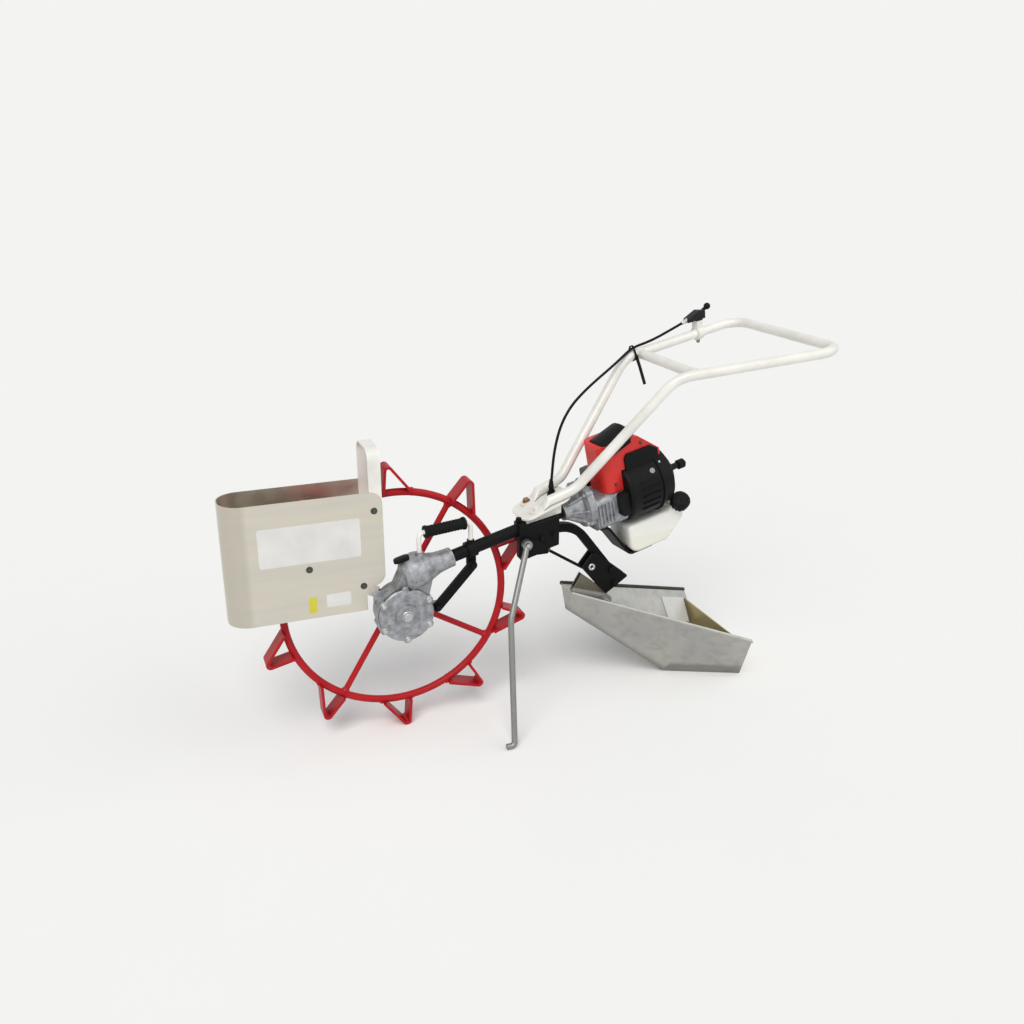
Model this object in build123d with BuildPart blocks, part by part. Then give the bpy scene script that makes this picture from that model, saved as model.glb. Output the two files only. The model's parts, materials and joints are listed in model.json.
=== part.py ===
from build123d import *
from math import acos, atan2, cos, radians, sin, tan
import os

os.makedirs("parts", exist_ok=True)

# Walk-behind paddy ditcher with one lugged wheel, standing on its wheel, side stand and plough.
# +X points to the rear, +Y to the machine's right, +Z up, all in millimetres.
# Places are given from the wheel's centre, and the floor lies under the lowest lug.

# Lugged wheel
rim_radius = 240.0
rim_bar = 16.0
lug_count = 10
lug_reach = 302.0
lug_width = 40.0
lug_plate = 6.0
lug_bend = 7.0
lug_turn = 91.8
lug_lead = 3.0
lug_trail = 11.0
spoke_count = 4
spoke_bar = 13.0
spoke_turn = 58.8
spoke_offset = 1.0
hub_radius = 26.0
hub_length = 50.0
axle_radius = 10.0
axle_nut = 17.0
axle_nut_length = 12.0
running_fit = 0.05

# Drive tube, which leaves the gear case and carries the engine
tube_radius = 13.5
tube_front_x = 107.0
tube_front_y = -60.0
tube_front_z = 104.0
tube_pitch = 11.5
tube_yaw = 7.0
tube_socket = 35.0

# Gear case beside the wheel
case_radius = 58.0
case_inner = -32.0
case_depth = 50.0
cover_depth = 9.0
neck_radius = 42.0
neck_depth = 40.0
bevel_radius = 34.0
bevel_length = 112.0
boss_radius = 21.0
web_depth = 9.0
web_margin = 2.0
web_step = 14.0
case_lobes = 6
lobe_turn = 30.0
lobe_radius = 9.0
lobe_inset = 3.0
neck_rib = 8.0
case_cap_x = 4.0
case_cap_length = 34.0
case_cap_width = 17.0
case_cap_height = 9.0

# Strut under the tube, and the carrying handle over it
strut_width = 20.0
strut_plate = 8.0
strut_foot_reach = 15.0
strut_foot_x = case_radius + strut_foot_reach
strut_foot_z = -4.0
strut_top_x = 152.0
strut_top_z = 80.0
clamp_wall = 4.5
clamp_length = 20.0
carry_bar_radius = 5.0
carry_front_x = 36.0
carry_height = 169.0
carry_rise = 5.0
carry_bend = 11.0
grip_radius = 11.5
grip_length = 92.0

# Mud guard round the front of the wheel
guard_half = 50.0
guard_sheet = 2.0
guard_nose = 349.0
guard_rear = 32.0
guard_bottom = 8.0
guard_top = 262.0
guard_nose_bend = 44.0
guard_corner = 25.0
guard_notch_length = 40.0
guard_notch_height = 52.0
guard_stay_width = 24.0
guard_stay_plate = 4.0
guard_stay_room = 8.603303
guard_stay_bend = 40.0
bridge_width = 26.0
bridge_plate = 3.0
bridge_x = -45.0
bridge_foot = 205.0
bridge_crown = 348.0
bridge_bend = 22.0

# Frame bracket under the tube, with the stand's pivot
wheel_room = 9.5
bracket_low = 84.0
bracket_length = 52.0
bracket_lift = 13.0
bracket_near = -62.0
bracket_far = -8.0
bracket_over_axis = 8.0
ear_near = -66.0
ear_depth = 14.0
clamp_block_length = 24.0
clamp_block_inner = -28.0
clamp_bolt_boss = 5.0
stand_setback = 28.0
stand_z = 112.0
stand_rod = 13.0
stand_eye = 12.0
stand_pin = 5.0
stand_gap = 2.0
stand_knee = (-58.0, -56.0, -142.0)
stand_foot = (-73.0, -118.0)
stand_knee_bend = 60.0
stand_toe_bend = 9.0
stand_toe = 18.0

# Plough arm, its holder and the adjuster rod
arm_half = 8.0
arm_width = 20.0
arm_grip = 10.0
arm_height = 112.0
arm_run = 105.0
arm_reach = 85.0
arm_drop = 112.0
arm_bend = 70.0
holder_plate = 6.0
holder_hole = 5.0
holder_pin = 5.0
rod_radius = 3.5
rod_front = (8.0, 90.0)
rod_lug = (18.0, 44.0)
rod_lug_low = 62.0
rod_pin = (-44.0, -6.0)
holder_hole_place = (-44.0, 9.0)
holder_corners = ((-67.0, 10.0), (-39.0, 45.0), (50.0, -27.0), (-6.0, -64.0))
holder_spacer = ((15.0, -19.0), (38.0, -38.0), (8.0, -58.0), (-6.0, -40.0))
holder_round = 4.0

# Plough hull of sheet, open at the top and the rear
hull_lead = 100.0
hull_keel_run = 264.0
hull_length = 430.0
hull_rake = 22.0
hull_drop = 40.0
hull_nose_depth = 53.0
hull_rear_height = 118.0
hull_nose_half = 4.0
hull_keel_half = 8.0
hull_sole_half = 85.0
hull_front_half = 31.0
hull_rear_half = 165.0
hull_sheet = 2.5
hull_deck_run = 92.0
hull_hem = 4.0
sole_trim = 0.5
hull_spare = 20.0
gusset_plate = 3.0
gusset_corners = ((-90.0, -48.0), (-66.0, -8.0), (-32.0, -36.0), (12.0, -79.0), (12.0, -90.0), (-90.0, -56.0))
transom_plate = 3.0
transom_inset = 8.0
transom_drop = 8.0

# Handle loop of tube
handle_radius = 11.1
handle_middle = -18.0
handle_front = (-12.0, 27.0, 36.0)
handle_low = (90.0, 39.4, 75.0)
handle_high = (279.0, 117.2, 316.8)
handle_rear = (624.1, 206.2, 368.4)
handle_cross = 320.0
handle_low_bend = 60.0
handle_high_bend = 80.0
handle_rear_bend = 42.0
tab_length = 28.0
tab_taper = 18.0
tab_width = 30.0
tab_sheet = 5.0
plate_sheet = 4.0
plate_half = 46.0
plate_lead = 30.0
plate_length = 122.0
plate_corner = 24.0
saddle_setback = 10.0

# Engine, placed along the tube's axis from the face of its clutch housing
engine_gap = 20.0
clutch_length = 62.0
clutch_radius = 52.0
clutch_neck = 22.0
clutch_flange = 16.0
clutch_ribs = 8
clutch_rib = 4.0
crank_length = 78.0
crank_half = 46.0
crank_top = 16.0
crank_bottom = -60.0
crank_round = 16.0
fan_radius = 74.0
fan_length = 84.0
fan_round = 8.0
coil_cover_length = 24.0
coil_cover_height = 54.0
coil_cover_depth = 15.0
starter_length = 56.0
starter_rim = 3.0
starter_rim_length = 6.0
vent_count = 16
vent_width = 5.0
vent_length = 24.0
vent_ring = 52.0
recoil_neck = 5.0
recoil_grip = 11.0
recoil_right = -16.0
recoil_up = 8.0
shroud_half = 42.0
shroud_lead = 34.0
shroud_height = 110.0
shroud_rear = 104.0
shroud_bend = 24.0
shroud_round = 9.0
shroud_gap = 0.3
cover_skirt = 2.5
cover_front = 20.0
cover_length = 80.0
cover_rise = 28.0
muffler_length = 38.0
muffler_height = 44.0
muffler_depth = 34.0
muffler_round = 8.0
cleaner_length = 60.0
cleaner_height = 66.0
cleaner_depth = 34.0
cleaner_round = 10.0
tank_half = 44.0
tank_front = -2.0
tank_length = 124.0
tank_gap = 4.0
tank_height = 70.0
tank_shoulder = 26.0
tank_shoulder_rise = 9.0
tank_round = 11.0
tank_edge = 8.0
filler_radius = 14.0
filler_length = 30.0
fuel_cap_radius = 22.0
fuel_cap_length = 20.0
fuel_cap_flutes = 14
guard_bar = 6.0

# Throttle
cable_radius = 3.0
cable_slack = 0.6
throttle_run = 231.0
throttle_ring = 4.0
throttle_half = 9.0
throttle_ball = 8.0
boot_setback = 53.0
boot_y = -12.0
boot_radius = 9.0
boot_height = 22.0
strap_run = 22.0
cable_sag = 2.5
strap_slack = 1.2
strap_sheet = 1.6
strap_width = 5.0

lug_tip = lug_bend + lug_plate / 2
lug_tip_centre = lug_reach - lug_tip
lug_pitch = 360.0 / lug_count
lug_lean = (lug_turn + 90.0) % lug_pitch
lug_low = min(lug_lean, lug_pitch - lug_lean)
axle_z = lug_tip_centre * cos(radians(lug_low)) + lug_tip
bracket_front = ((lug_reach + wheel_room) ** 2 - bracket_low ** 2) ** 0.5
bracket_rear = bracket_front + bracket_length
axle_x = (guard_nose - bracket_front - handle_rear[0] - handle_radius) / 2
axle_y = -handle_middle
floor = -axle_z


def at(x, y, z):
    """A place given from the wheel's centre."""
    return Vector(axle_x + x, axle_y + y, axle_z + z)


def side_plane(y):
    """A plane along the machine at y, seen from its left: x to the rear, y up, normal to the left."""
    return Plane(at(0, y, 0), x_dir=(1, 0, 0), z_dir=(0, -1, 0))


def cross_plane(x):
    """A plane across the machine at x, seen from the front: x to the right, y up, normal to the rear."""
    return Plane(at(x, 0, 0), x_dir=(0, 1, 0), z_dir=(1, 0, 0))


# Axes of the drive tube and of the engine on it: along, to the right and up
tube_along = Vector(
    cos(radians(tube_pitch)) * cos(radians(tube_yaw)),
    cos(radians(tube_pitch)) * sin(radians(tube_yaw)),
    sin(radians(tube_pitch)),
)
tube_right = Vector(-sin(radians(tube_yaw)), cos(radians(tube_yaw)), 0)
tube_up = tube_along.cross(tube_right)
tube_front = at(tube_front_x, tube_front_y, tube_front_z)


def tube_at(s, right=0.0, up=0.0):
    """A place s along the tube's axis from the gear case, and off that axis."""
    return tube_front + tube_along * s + tube_right * right + tube_up * up


def tube_s(x):
    """Distance along the tube's axis at which it passes x."""
    return (x - tube_front_x) / tube_along.X


def tube_y(x):
    """The axis's y where it passes x."""
    return tube_front_y + tube_s(x) * tube_along.Y


def tube_z(x):
    """The axis's height where it passes x."""
    return tube_front_z + tube_s(x) * tube_along.Z


tube_span = tube_s(bracket_rear) + engine_gap


def tube_side(s=0.0, right=0.0):
    """A plane along the tube's axis: x along it, y up."""
    return Plane(tube_at(s, right), x_dir=tube_along, z_dir=-tube_right)


def tube_cross(s, up=0.0):
    """A plane square to the tube's axis at s: x to the right, y up, normal to the rear."""
    return Plane(tube_at(s, 0.0, up), x_dir=tube_right, z_dir=tube_along)


def engine_side(right=0.0):
    """A plane along the engine: x from the clutch housing's face, y up from the axis."""
    return tube_side(tube_span, right)


def engine_cross(s, up=0.0):
    """A plane square to the engine's axis at s."""
    return tube_cross(tube_span + s, up)


# Wheel: round rim, bent flat lugs, four spokes and a hub
def lug_tangent(foot, side):
    """Where the straight leg from a lug's foot runs into the bend at its tip."""
    leg = foot - Vector(lug_tip_centre, 0)
    turn = atan2(leg.Y, leg.X) + side * acos(lug_bend / leg.length)
    return Vector(lug_tip_centre + lug_bend * cos(turn), lug_bend * sin(turn))


lug_foot_radius = rim_radius + rim_bar / 4
lug_push_foot = Vector(lug_foot_radius, 0).rotate(Axis.Z, lug_lead)
lug_back_foot = Vector(lug_foot_radius, 0).rotate(Axis.Z, -lug_trail)
lug_push_bend = lug_tangent(lug_push_foot, -1)
lug_back_bend = lug_tangent(lug_back_foot, 1)

with BuildSketch() as lug:
    with BuildLine():
        Line(lug_push_foot, lug_push_bend)
        ThreePointArc(lug_push_bend, (lug_tip_centre + lug_bend, 0), lug_back_bend)
        Line(lug_back_bend, lug_back_foot)
    trace(line_width=lug_plate)

with BuildPart() as wheel:
    with BuildSketch(side_plane(0)):
        with PolarLocations(0, lug_count, start_angle=lug_turn):
            add(lug.sketch)
    extrude(amount=lug_width / 2, both=True)
    with BuildSketch(Plane(at(0, 0, 0))):
        with Locations((rim_radius, 0)):
            Circle(rim_bar / 2)
    revolve(axis=Axis(at(0, 0, 0), (0, 1, 0)))
    for spoke in range(spoke_count):
        angle = radians(spoke_turn + spoke * 360.0 / spoke_count)
        with BuildSketch(Plane(at(0, spoke_offset, 0), z_dir=(cos(angle), 0, sin(angle)))):
            Circle(spoke_bar / 2)
        extrude(amount=rim_radius - rim_bar / 4)
    with BuildSketch(side_plane(0)):
        Circle(hub_radius)
    extrude(amount=hub_length / 2, both=True)
    with BuildSketch(side_plane(0)):
        Circle(axle_radius + running_fit)
    extrude(amount=hub_length, both=True, mode=Mode.SUBTRACT)

axle_depth = case_depth * 0.6
with BuildPart() as wheel_axle:
    with BuildSketch(side_plane(hub_length / 2 + axle_nut_length)):
        Circle(axle_radius)
    extrude(amount=hub_length / 2 + axle_nut_length - case_inner + axle_depth)
    with BuildSketch(side_plane(hub_length / 2 + axle_nut_length)):
        RegularPolygon(axle_nut, 6)
    extrude(amount=axle_nut_length)

# Gear case: drum on the wheel's axis, neck, and the bevel housing that takes the tube
bevel_s = -bevel_length + bevel_radius
bevel_x = tube_front_x + bevel_s * tube_along.X
bevel_z = tube_front_z + bevel_s * tube_along.Z
carry_seat_z = tube_z(carry_front_x) + bevel_radius / tube_up.Z + 4.0
carry_rear_x = strut_top_x
web_near = -guard_half + guard_sheet / 2 - web_depth
strut_ear_near = tube_front_y

with BuildPart() as gear_case:
    with BuildSketch(side_plane(case_inner)):
        Circle(case_radius)
        with PolarLocations(case_radius - lobe_inset, case_lobes, start_angle=lobe_turn):
            Circle(lobe_radius)
    extrude(amount=case_depth)
    with BuildSketch(side_plane(case_inner - case_depth)):
        with BuildLine():
            Line((0, case_radius / 2), (bevel_x, bevel_z))
        trace(line_width=neck_rib)
    extrude(amount=-neck_depth)
    with BuildSketch(side_plane(case_inner - (case_depth - neck_depth))):
        with BuildLine():
            CenterArc((0, 0), neck_radius, 0, 360)
            CenterArc((bevel_x, bevel_z), bevel_radius - 2.0, 0, 360)
        make_hull()
    extrude(amount=neck_depth)
    with BuildSketch(tube_side()):
        Polygon(
            (-bevel_length, 0), (-bevel_length, bevel_radius - 9.0), (-bevel_length + 9.0, bevel_radius),
            (-bevel_length * 0.62, bevel_radius), (-bevel_length * 0.3, boss_radius + 2.0),
            (-bevel_length * 0.1, boss_radius), (0, boss_radius), (0, 0), align=None,
        )
    revolve(axis=Axis(tube_front, tube_along))
    with BuildSketch(side_plane(web_near + web_depth)):
        Polygon(
            (-case_radius - web_margin, 22), (-case_radius - web_margin, case_radius - web_step),
            (web_margin, case_radius), (6, 102), (30, 104), (30, 20), align=None,
        )
    extrude(amount=web_depth)
    with BuildSketch(side_plane(strut_ear_near + 10.0)):
        with Locations((strut_foot_x, strut_foot_z)):
            Circle(strut_width / 2)
        with Locations((strut_foot_x - strut_width, strut_foot_z)):
            Rectangle(2 * strut_width, strut_width)
    extrude(amount=10.0)
    with BuildSketch(Plane(at(carry_front_x, tube_y(carry_front_x), carry_seat_z))):
        Circle(carry_bar_radius + 4.0)
    extrude(amount=-bevel_radius)
    with BuildSketch(side_plane(case_inner)):
        Circle(axle_radius + running_fit)
    extrude(amount=axle_depth, mode=Mode.SUBTRACT)
    with BuildSketch(tube_cross(0)):
        Circle(tube_radius + running_fit)
    extrude(amount=-tube_socket, mode=Mode.SUBTRACT)

with BuildPart() as gear_cover:
    with BuildSketch(side_plane(case_inner - case_depth)):
        Circle(case_radius)
        with PolarLocations(case_radius - lobe_inset, case_lobes, start_angle=lobe_turn):
            Circle(lobe_radius)
    extrude(amount=cover_depth)
    chamfer(gear_cover.faces().sort_by(Axis.Y)[0].edges(), cover_depth / 4)
    with BuildSketch(side_plane(case_inner - case_depth - cover_depth)):
        Circle(case_radius * 0.42)
    extrude(amount=cover_depth / 2)
    with BuildSketch(tube_cross(-bevel_length)):
        Circle(bevel_radius + running_fit)
    extrude(amount=bevel_length, mode=Mode.SUBTRACT)

case_cap_seat = Plane(tube_at(tube_s(case_cap_x), 0, bevel_radius), x_dir=tube_along, z_dir=tube_up)
with BuildPart() as case_cap:
    with BuildSketch(case_cap_seat):
        SlotOverall(case_cap_length, case_cap_width)
    extrude(amount=case_cap_height)
    fillet(case_cap.faces().sort_by(Axis.Z)[-1].edges(), case_cap_height / 3)
    with BuildSketch(tube_cross(-bevel_length)):
        Circle(bevel_radius)
    extrude(amount=bevel_length, mode=Mode.SUBTRACT)

with BuildPart() as drive_tube:
    with BuildSketch(tube_cross(-tube_socket)):
        Circle(tube_radius)
    extrude(amount=tube_span + 2 * tube_socket)

# Clamp on the tube with the strut's tab below and the carrying bar's seat above
clamp_radius = tube_radius + clamp_wall
clamp_s = tube_s(strut_top_x)
clamp_seat_z = tube_z(carry_rear_x) + clamp_radius / tube_up.Z + 3.0
with BuildPart() as tube_clamp:
    with BuildSketch(tube_cross(clamp_s - clamp_length / 2)):
        Circle(clamp_radius)
    extrude(amount=clamp_length)
    with BuildSketch(side_plane(strut_ear_near + strut_plate)):
        with Locations((strut_top_x, strut_top_z)):
            Circle(strut_width / 2)
        with Locations((strut_top_x, (strut_top_z + tube_z(strut_top_x)) / 2)):
            Rectangle(strut_width, tube_z(strut_top_x) - strut_top_z)
    extrude(amount=strut_plate)
    with BuildSketch(Plane(at(carry_rear_x, tube_y(carry_rear_x), clamp_seat_z))):
        Circle(carry_bar_radius + 3.0)
    extrude(amount=-clamp_radius)
    with BuildSketch(tube_cross(clamp_s - clamp_length)):
        Circle(tube_radius + running_fit)
    extrude(amount=2 * clamp_length, mode=Mode.SUBTRACT)

with BuildPart() as brace_strut:
    with BuildSketch(side_plane(strut_ear_near)):
        with BuildLine():
            Line((strut_foot_x, strut_foot_z), (strut_top_x, strut_top_z))
        trace(line_width=strut_width)
        with Locations((strut_foot_x, strut_foot_z), (strut_top_x, strut_top_z)):
            Circle(strut_width / 2)
    extrude(amount=strut_plate)

# Carrying handle: bent bar with a rubber grip
carry_front_top = at(carry_front_x, tube_y(carry_front_x), carry_height)
carry_rear_top = at(carry_rear_x, tube_y(carry_rear_x), carry_height + carry_rise)
carry_run = carry_rear_top - carry_front_top
with BuildPart() as carry_bar:
    with BuildLine() as carry_path:
        FilletPolyline(
            at(carry_front_x, tube_y(carry_front_x), carry_seat_z), carry_front_top, carry_rear_top,
            at(carry_rear_x, tube_y(carry_rear_x), clamp_seat_z), radius=carry_bend,
        )
    with BuildSketch(Plane(carry_path.line @ 0, z_dir=carry_path.line % 0)):
        Circle(carry_bar_radius)
    sweep()

grip_start = carry_front_top + carry_run * ((1 - grip_length / carry_run.length) / 2)
with BuildPart() as carry_grip:
    with BuildSketch(Plane(grip_start, z_dir=carry_run)):
        Circle(grip_radius)
        Circle(carry_bar_radius + running_fit, mode=Mode.SUBTRACT)
    extrude(amount=grip_length)

# Mud guard: one bent sheet, its stay to the gear case and the bridge over the wheel
with BuildPart() as guard:
    with BuildSketch(Plane(at(0, 0, guard_bottom))):
        with BuildLine():
            FilletPolyline(
                (-guard_rear, -guard_half), (guard_sheet / 2 - guard_nose, -guard_half),
                (guard_sheet / 2 - guard_nose, guard_half), (-guard_rear, guard_half), radius=guard_nose_bend,
            )
        trace(line_width=guard_sheet)
    extrude(amount=guard_top - guard_bottom)
    with BuildSketch(side_plane(0)) as guard_outline:
        with BuildLine():
            Polyline(
                (-guard_nose, guard_bottom), (-guard_rear - guard_notch_length, guard_bottom),
                (-guard_rear - guard_notch_length, guard_bottom + guard_notch_height),
                (-guard_rear, guard_bottom + guard_notch_height), (-guard_rear, guard_top),
                (-guard_nose, guard_top), close=True,
            )
        make_face()
        fillet(guard_outline.vertices().group_by(Axis.X)[-1], guard_corner)
    extrude(amount=2 * guard_half, both=True, mode=Mode.INTERSECT)

guard_stay_near = guard_sheet / 2 - guard_half
guard_stay_end = Vector(-50, 44).normalized() * (case_radius + guard_stay_room)
with BuildPart() as guard_stay:
    with BuildSketch(side_plane(guard_stay_near + guard_stay_plate)):
        with BuildLine():
            FilletPolyline((-206, 116), (-88, 62), guard_stay_end, radius=guard_stay_bend)
        trace(line_width=guard_stay_width)
    extrude(amount=guard_stay_plate)

bridge_half = guard_half - guard_sheet / 2 - bridge_plate / 2
with BuildPart() as guard_bridge:
    with BuildSketch(cross_plane(bridge_x - bridge_width / 2)):
        with BuildLine():
            FilletPolyline(
                (-bridge_half, bridge_foot), (-bridge_half, bridge_crown), (bridge_half, bridge_crown),
                (bridge_half, bridge_foot), radius=bridge_bend,
            )
        trace(line_width=bridge_plate)
    extrude(amount=bridge_width)

# Frame bracket: block round the tube, clamp and ear at the stand's pin, lug for the adjuster rod
stand_x = bracket_front - stand_setback
stand_y = ear_near - stand_gap - stand_eye / 2
arm_start = bracket_front + arm_grip
arm_corner_x = arm_start + arm_run
arm_end_x = arm_corner_x + arm_reach
arm_end_z = arm_height - arm_drop


def from_arm_end(*corners):
    """Places in the side plane, given from the arm's end."""
    return [(arm_end_x + x, arm_end_z + z) for x, z in corners]


rod_start = Vector(bracket_front + rod_front[0], rod_front[1])
rod_end = Vector(*from_arm_end(rod_pin)[0])
rod_along = (rod_end - rod_start).normalized()
rod_plane = Plane(at(rod_start.X, 0, rod_start.Y), z_dir=(rod_along.X, 0, rod_along.Y))
rod_lug_top = bracket_low + bracket_lift
clamp_block_top = tube_radius + 1.0
clamp_block_rear = stand_x + clamp_block_length / 4
clamp_bolt_x = stand_x - clamp_block_length / 4
with BuildPart() as frame_bracket:
    with BuildSketch(side_plane(bracket_far)):
        Polygon(
            (bracket_front, bracket_low), (bracket_rear, bracket_low + bracket_lift),
            (bracket_rear, tube_z(bracket_rear) + bracket_over_axis),
            (bracket_front, tube_z(bracket_front) + bracket_over_axis), align=None,
        )
    extrude(amount=bracket_far - bracket_near)
    with BuildSketch(side_plane(clamp_block_inner)):
        Polygon(
            (stand_x - clamp_block_length / 2, stand_z), (bracket_front, stand_z),
            (bracket_front, tube_z(bracket_front) + bracket_over_axis),
            (clamp_block_rear, tube_z(clamp_block_rear) + bracket_over_axis),
            (clamp_block_rear, tube_z(clamp_block_rear) + clamp_block_top),
            (stand_x - clamp_block_length / 2, tube_z(stand_x) + clamp_block_top), align=None,
        )
    extrude(amount=clamp_block_inner - bracket_near)
    with BuildSketch(Plane(at(clamp_bolt_x, tube_y(clamp_bolt_x), tube_z(clamp_bolt_x) + clamp_block_top))):
        Circle(clamp_bolt_boss)
    extrude(amount=clamp_bolt_boss)
    with BuildSketch(side_plane(ear_near + ear_depth)):
        with BuildLine():
            CenterArc((stand_x, stand_z), ear_depth, 0, 360)
            CenterArc((stand_x - stand_pin, bracket_low), 2 * stand_pin, 0, 360)
            CenterArc((bracket_front + stand_pin, bracket_low + ear_depth), ear_depth, 0, 360)
        make_hull()
    extrude(amount=ear_depth)
    with BuildSketch(side_plane(arm_half)):
        Polygon(
            (bracket_front + rod_lug[0], rod_lug_low), (bracket_front + rod_lug[1], rod_lug_low),
            (bracket_front + rod_lug[1], rod_lug_top), (bracket_front + rod_lug[0], rod_lug_top), align=None,
        )
    extrude(amount=arm_half - bracket_far + ear_depth)
    with BuildSketch(side_plane(arm_half)):
        Polygon(
            (arm_start, arm_height - arm_width / 2), (bracket_rear + arm_width, arm_height - arm_width / 2),
            (bracket_rear + arm_width, tube_z(bracket_rear) + arm_width),
            (arm_start, tube_z(bracket_rear) + arm_width), align=None,
        )
    extrude(amount=2 * arm_half, mode=Mode.SUBTRACT)
    with BuildSketch(side_plane(ear_near)):
        with Locations((stand_x, stand_z)):
            Circle(stand_pin)
    extrude(amount=stand_eye + 2 * stand_gap)
    with BuildSketch(tube_cross(0)):
        Circle(tube_radius + running_fit)
    extrude(amount=tube_span + tube_socket, mode=Mode.SUBTRACT)
    with BuildSketch(rod_plane):
        Circle(rod_radius + running_fit)
    extrude(amount=bracket_length + arm_width, mode=Mode.SUBTRACT)

# Side stand: bent rod with an eye on the bracket's pin
with BuildPart() as side_stand:
    with BuildLine() as stand_path:
        FilletPolyline(
            at(stand_x, stand_y - stand_gap, stand_z),
            at(stand_x + stand_knee[0], stand_y + stand_knee[1], stand_z + stand_knee[2]),
            at(stand_x + stand_foot[0], stand_y + stand_foot[1], floor + stand_rod / 2),
            at(stand_x + stand_foot[0] - stand_toe, stand_y + stand_foot[1], floor + stand_rod / 2),
            radius=(stand_knee_bend, stand_toe_bend),
        )
    with BuildSketch(Plane(stand_path.line @ 0, z_dir=stand_path.line % 0)):
        Circle(stand_rod / 2)
    sweep()
    with BuildSketch(side_plane(stand_y + stand_eye / 2)):
        with Locations((stand_x, stand_z)):
            Circle(stand_pin + stand_eye / 2)
    extrude(amount=stand_eye)
    with BuildSketch(side_plane(ear_near)):
        with Locations((stand_x, stand_z)):
            Circle(stand_pin + running_fit)
    extrude(amount=2 * stand_eye, mode=Mode.SUBTRACT)

# Plough arm, and the two-plate holder with its cross pin and spacer
with BuildPart() as plough_arm:
    with BuildSketch(side_plane(arm_half)):
        with BuildLine():
            FilletPolyline(
                (arm_start, arm_height), (arm_corner_x, arm_height), (arm_end_x, arm_end_z), radius=arm_bend,
            )
        trace(line_width=arm_width)
    extrude(amount=2 * arm_half)

with BuildPart() as plough_holder:
    with BuildSketch(side_plane(arm_half + holder_plate)) as holder_outline:
        with BuildLine():
            Polyline(*from_arm_end(*holder_corners), close=True)
        make_face()
        fillet(holder_outline.vertices(), holder_round)
        with Locations(from_arm_end(holder_hole_place)[0]):
            Circle(holder_hole, mode=Mode.SUBTRACT)
    extrude(amount=2 * (arm_half + holder_plate))
    with BuildSketch(side_plane(arm_half)):
        with Locations((arm_end_x, arm_end_z)):
            Circle(arm_drop)
        with Locations((rod_end.X, rod_end.Y)):
            Circle(holder_pin, mode=Mode.SUBTRACT)
        Polygon(*from_arm_end(*holder_spacer), align=None, mode=Mode.SUBTRACT)
    extrude(amount=2 * arm_half, mode=Mode.SUBTRACT)

with BuildPart() as adjuster_rod:
    with BuildSketch(rod_plane):
        Circle(rod_radius)
    extrude(amount=(rod_end - rod_start).length - holder_pin - running_fit)


# Plough hull: ruled sides between a narrow nose, the keel's touch-down and the wide rear
hull_nose = arm_end_x - hull_lead
hull_keel = hull_nose + hull_keel_run
hull_rear = hull_nose + hull_length
hull_front_top = arm_end_z - hull_drop
hull_nose_z = hull_front_top - hull_nose_depth
hull_rear_top = floor + hull_rear_height


def hull_section(x, wall=0.0, rise=0.0):
    """The hull's cross section at x as y and z, drawn in by its wall and raised at the top."""
    front = (x - hull_nose) / (hull_keel - hull_nose)
    back = (x - hull_keel) / (hull_rear - hull_keel)
    whole = (x - hull_nose) / (hull_rear - hull_nose)
    if x < hull_keel:
        low = hull_nose_z + (floor - sole_trim - hull_nose_z) * front
        low_half = hull_nose_half + (hull_keel_half - hull_nose_half) * front
    else:
        low = floor - sole_trim
        low_half = hull_keel_half + (hull_sole_half - hull_keel_half) * back
    high = hull_front_top + (hull_rear_top - hull_front_top) * whole
    high_half = hull_front_half + (hull_rear_half - hull_front_half) * whole
    flare = (high_half - low_half) / (high - low)
    side = wall * (1 + flare * flare) ** 0.5
    bottom_half = low_half + flare * wall - side
    top_half = high_half + flare * rise - side
    top = high + rise
    return [(-bottom_half, low + wall), (bottom_half, low + wall), (top_half, top), (-top_half, top)]


hull_end = hull_rear + hull_spare
rear_slope = Plane(at(hull_rear, 0, floor), x_dir=(0, 1, 0), z_dir=(-hull_rear_top + floor, 0, -hull_rake))
with BuildPart() as plough_hull:
    for x in (hull_nose, hull_keel, hull_end):
        with BuildSketch(cross_plane(x)):
            Polygon(*hull_section(x), align=None)
    loft(ruled=True)
    for x in (hull_nose + hull_deck_run, hull_keel, hull_end):
        with BuildSketch(cross_plane(x)):
            Polygon(*hull_section(x, hull_sheet, hull_spare), align=None)
    loft(ruled=True, mode=Mode.SUBTRACT)
    for side in (-1, 1):
        hem_front = at(hull_nose, side * hull_front_half, hull_front_top)
        hem_rear = at(hull_rear, side * hull_rear_half, hull_rear_top)
        hem_run = hem_rear - hem_front
        with BuildSketch(Plane(hem_front, z_dir=hem_run)):
            Circle(hull_hem)
        extrude(amount=hem_run.length)
    split(bisect_by=rear_slope, keep=Keep.TOP)
    split(bisect_by=Plane(at(0, 0, floor)), keep=Keep.TOP)
    for far in (arm_half, gusset_plate - arm_half):
        with BuildSketch(side_plane(far)):
            Polygon(*from_arm_end(*gusset_corners), align=None)
        extrude(amount=gusset_plate)

transom_rear = hull_rear - transom_inset
transom_top = hull_rear_top - transom_drop
transom_lean = hull_rake * (transom_top - floor) / (hull_rear_top - floor)
with BuildPart() as plough_transom:
    for x in (hull_keel, hull_end):
        with BuildSketch(cross_plane(x)):
            Polygon(*hull_section(x, hull_sheet, hull_spare), align=None)
    loft(ruled=True)
    with BuildSketch(side_plane(0)):
        Polygon(
            (transom_rear, floor), (transom_rear - transom_lean, transom_top),
            (transom_rear - transom_lean - transom_plate, transom_top), (transom_rear - transom_plate, floor),
            align=None,
        )
    extrude(amount=2 * hull_rear_half, both=True, mode=Mode.INTERSECT)


# Handle: one bent tube with flattened ends, and a cross tube, on a saddle plate
frame_z = tube_z(bracket_front)


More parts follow.
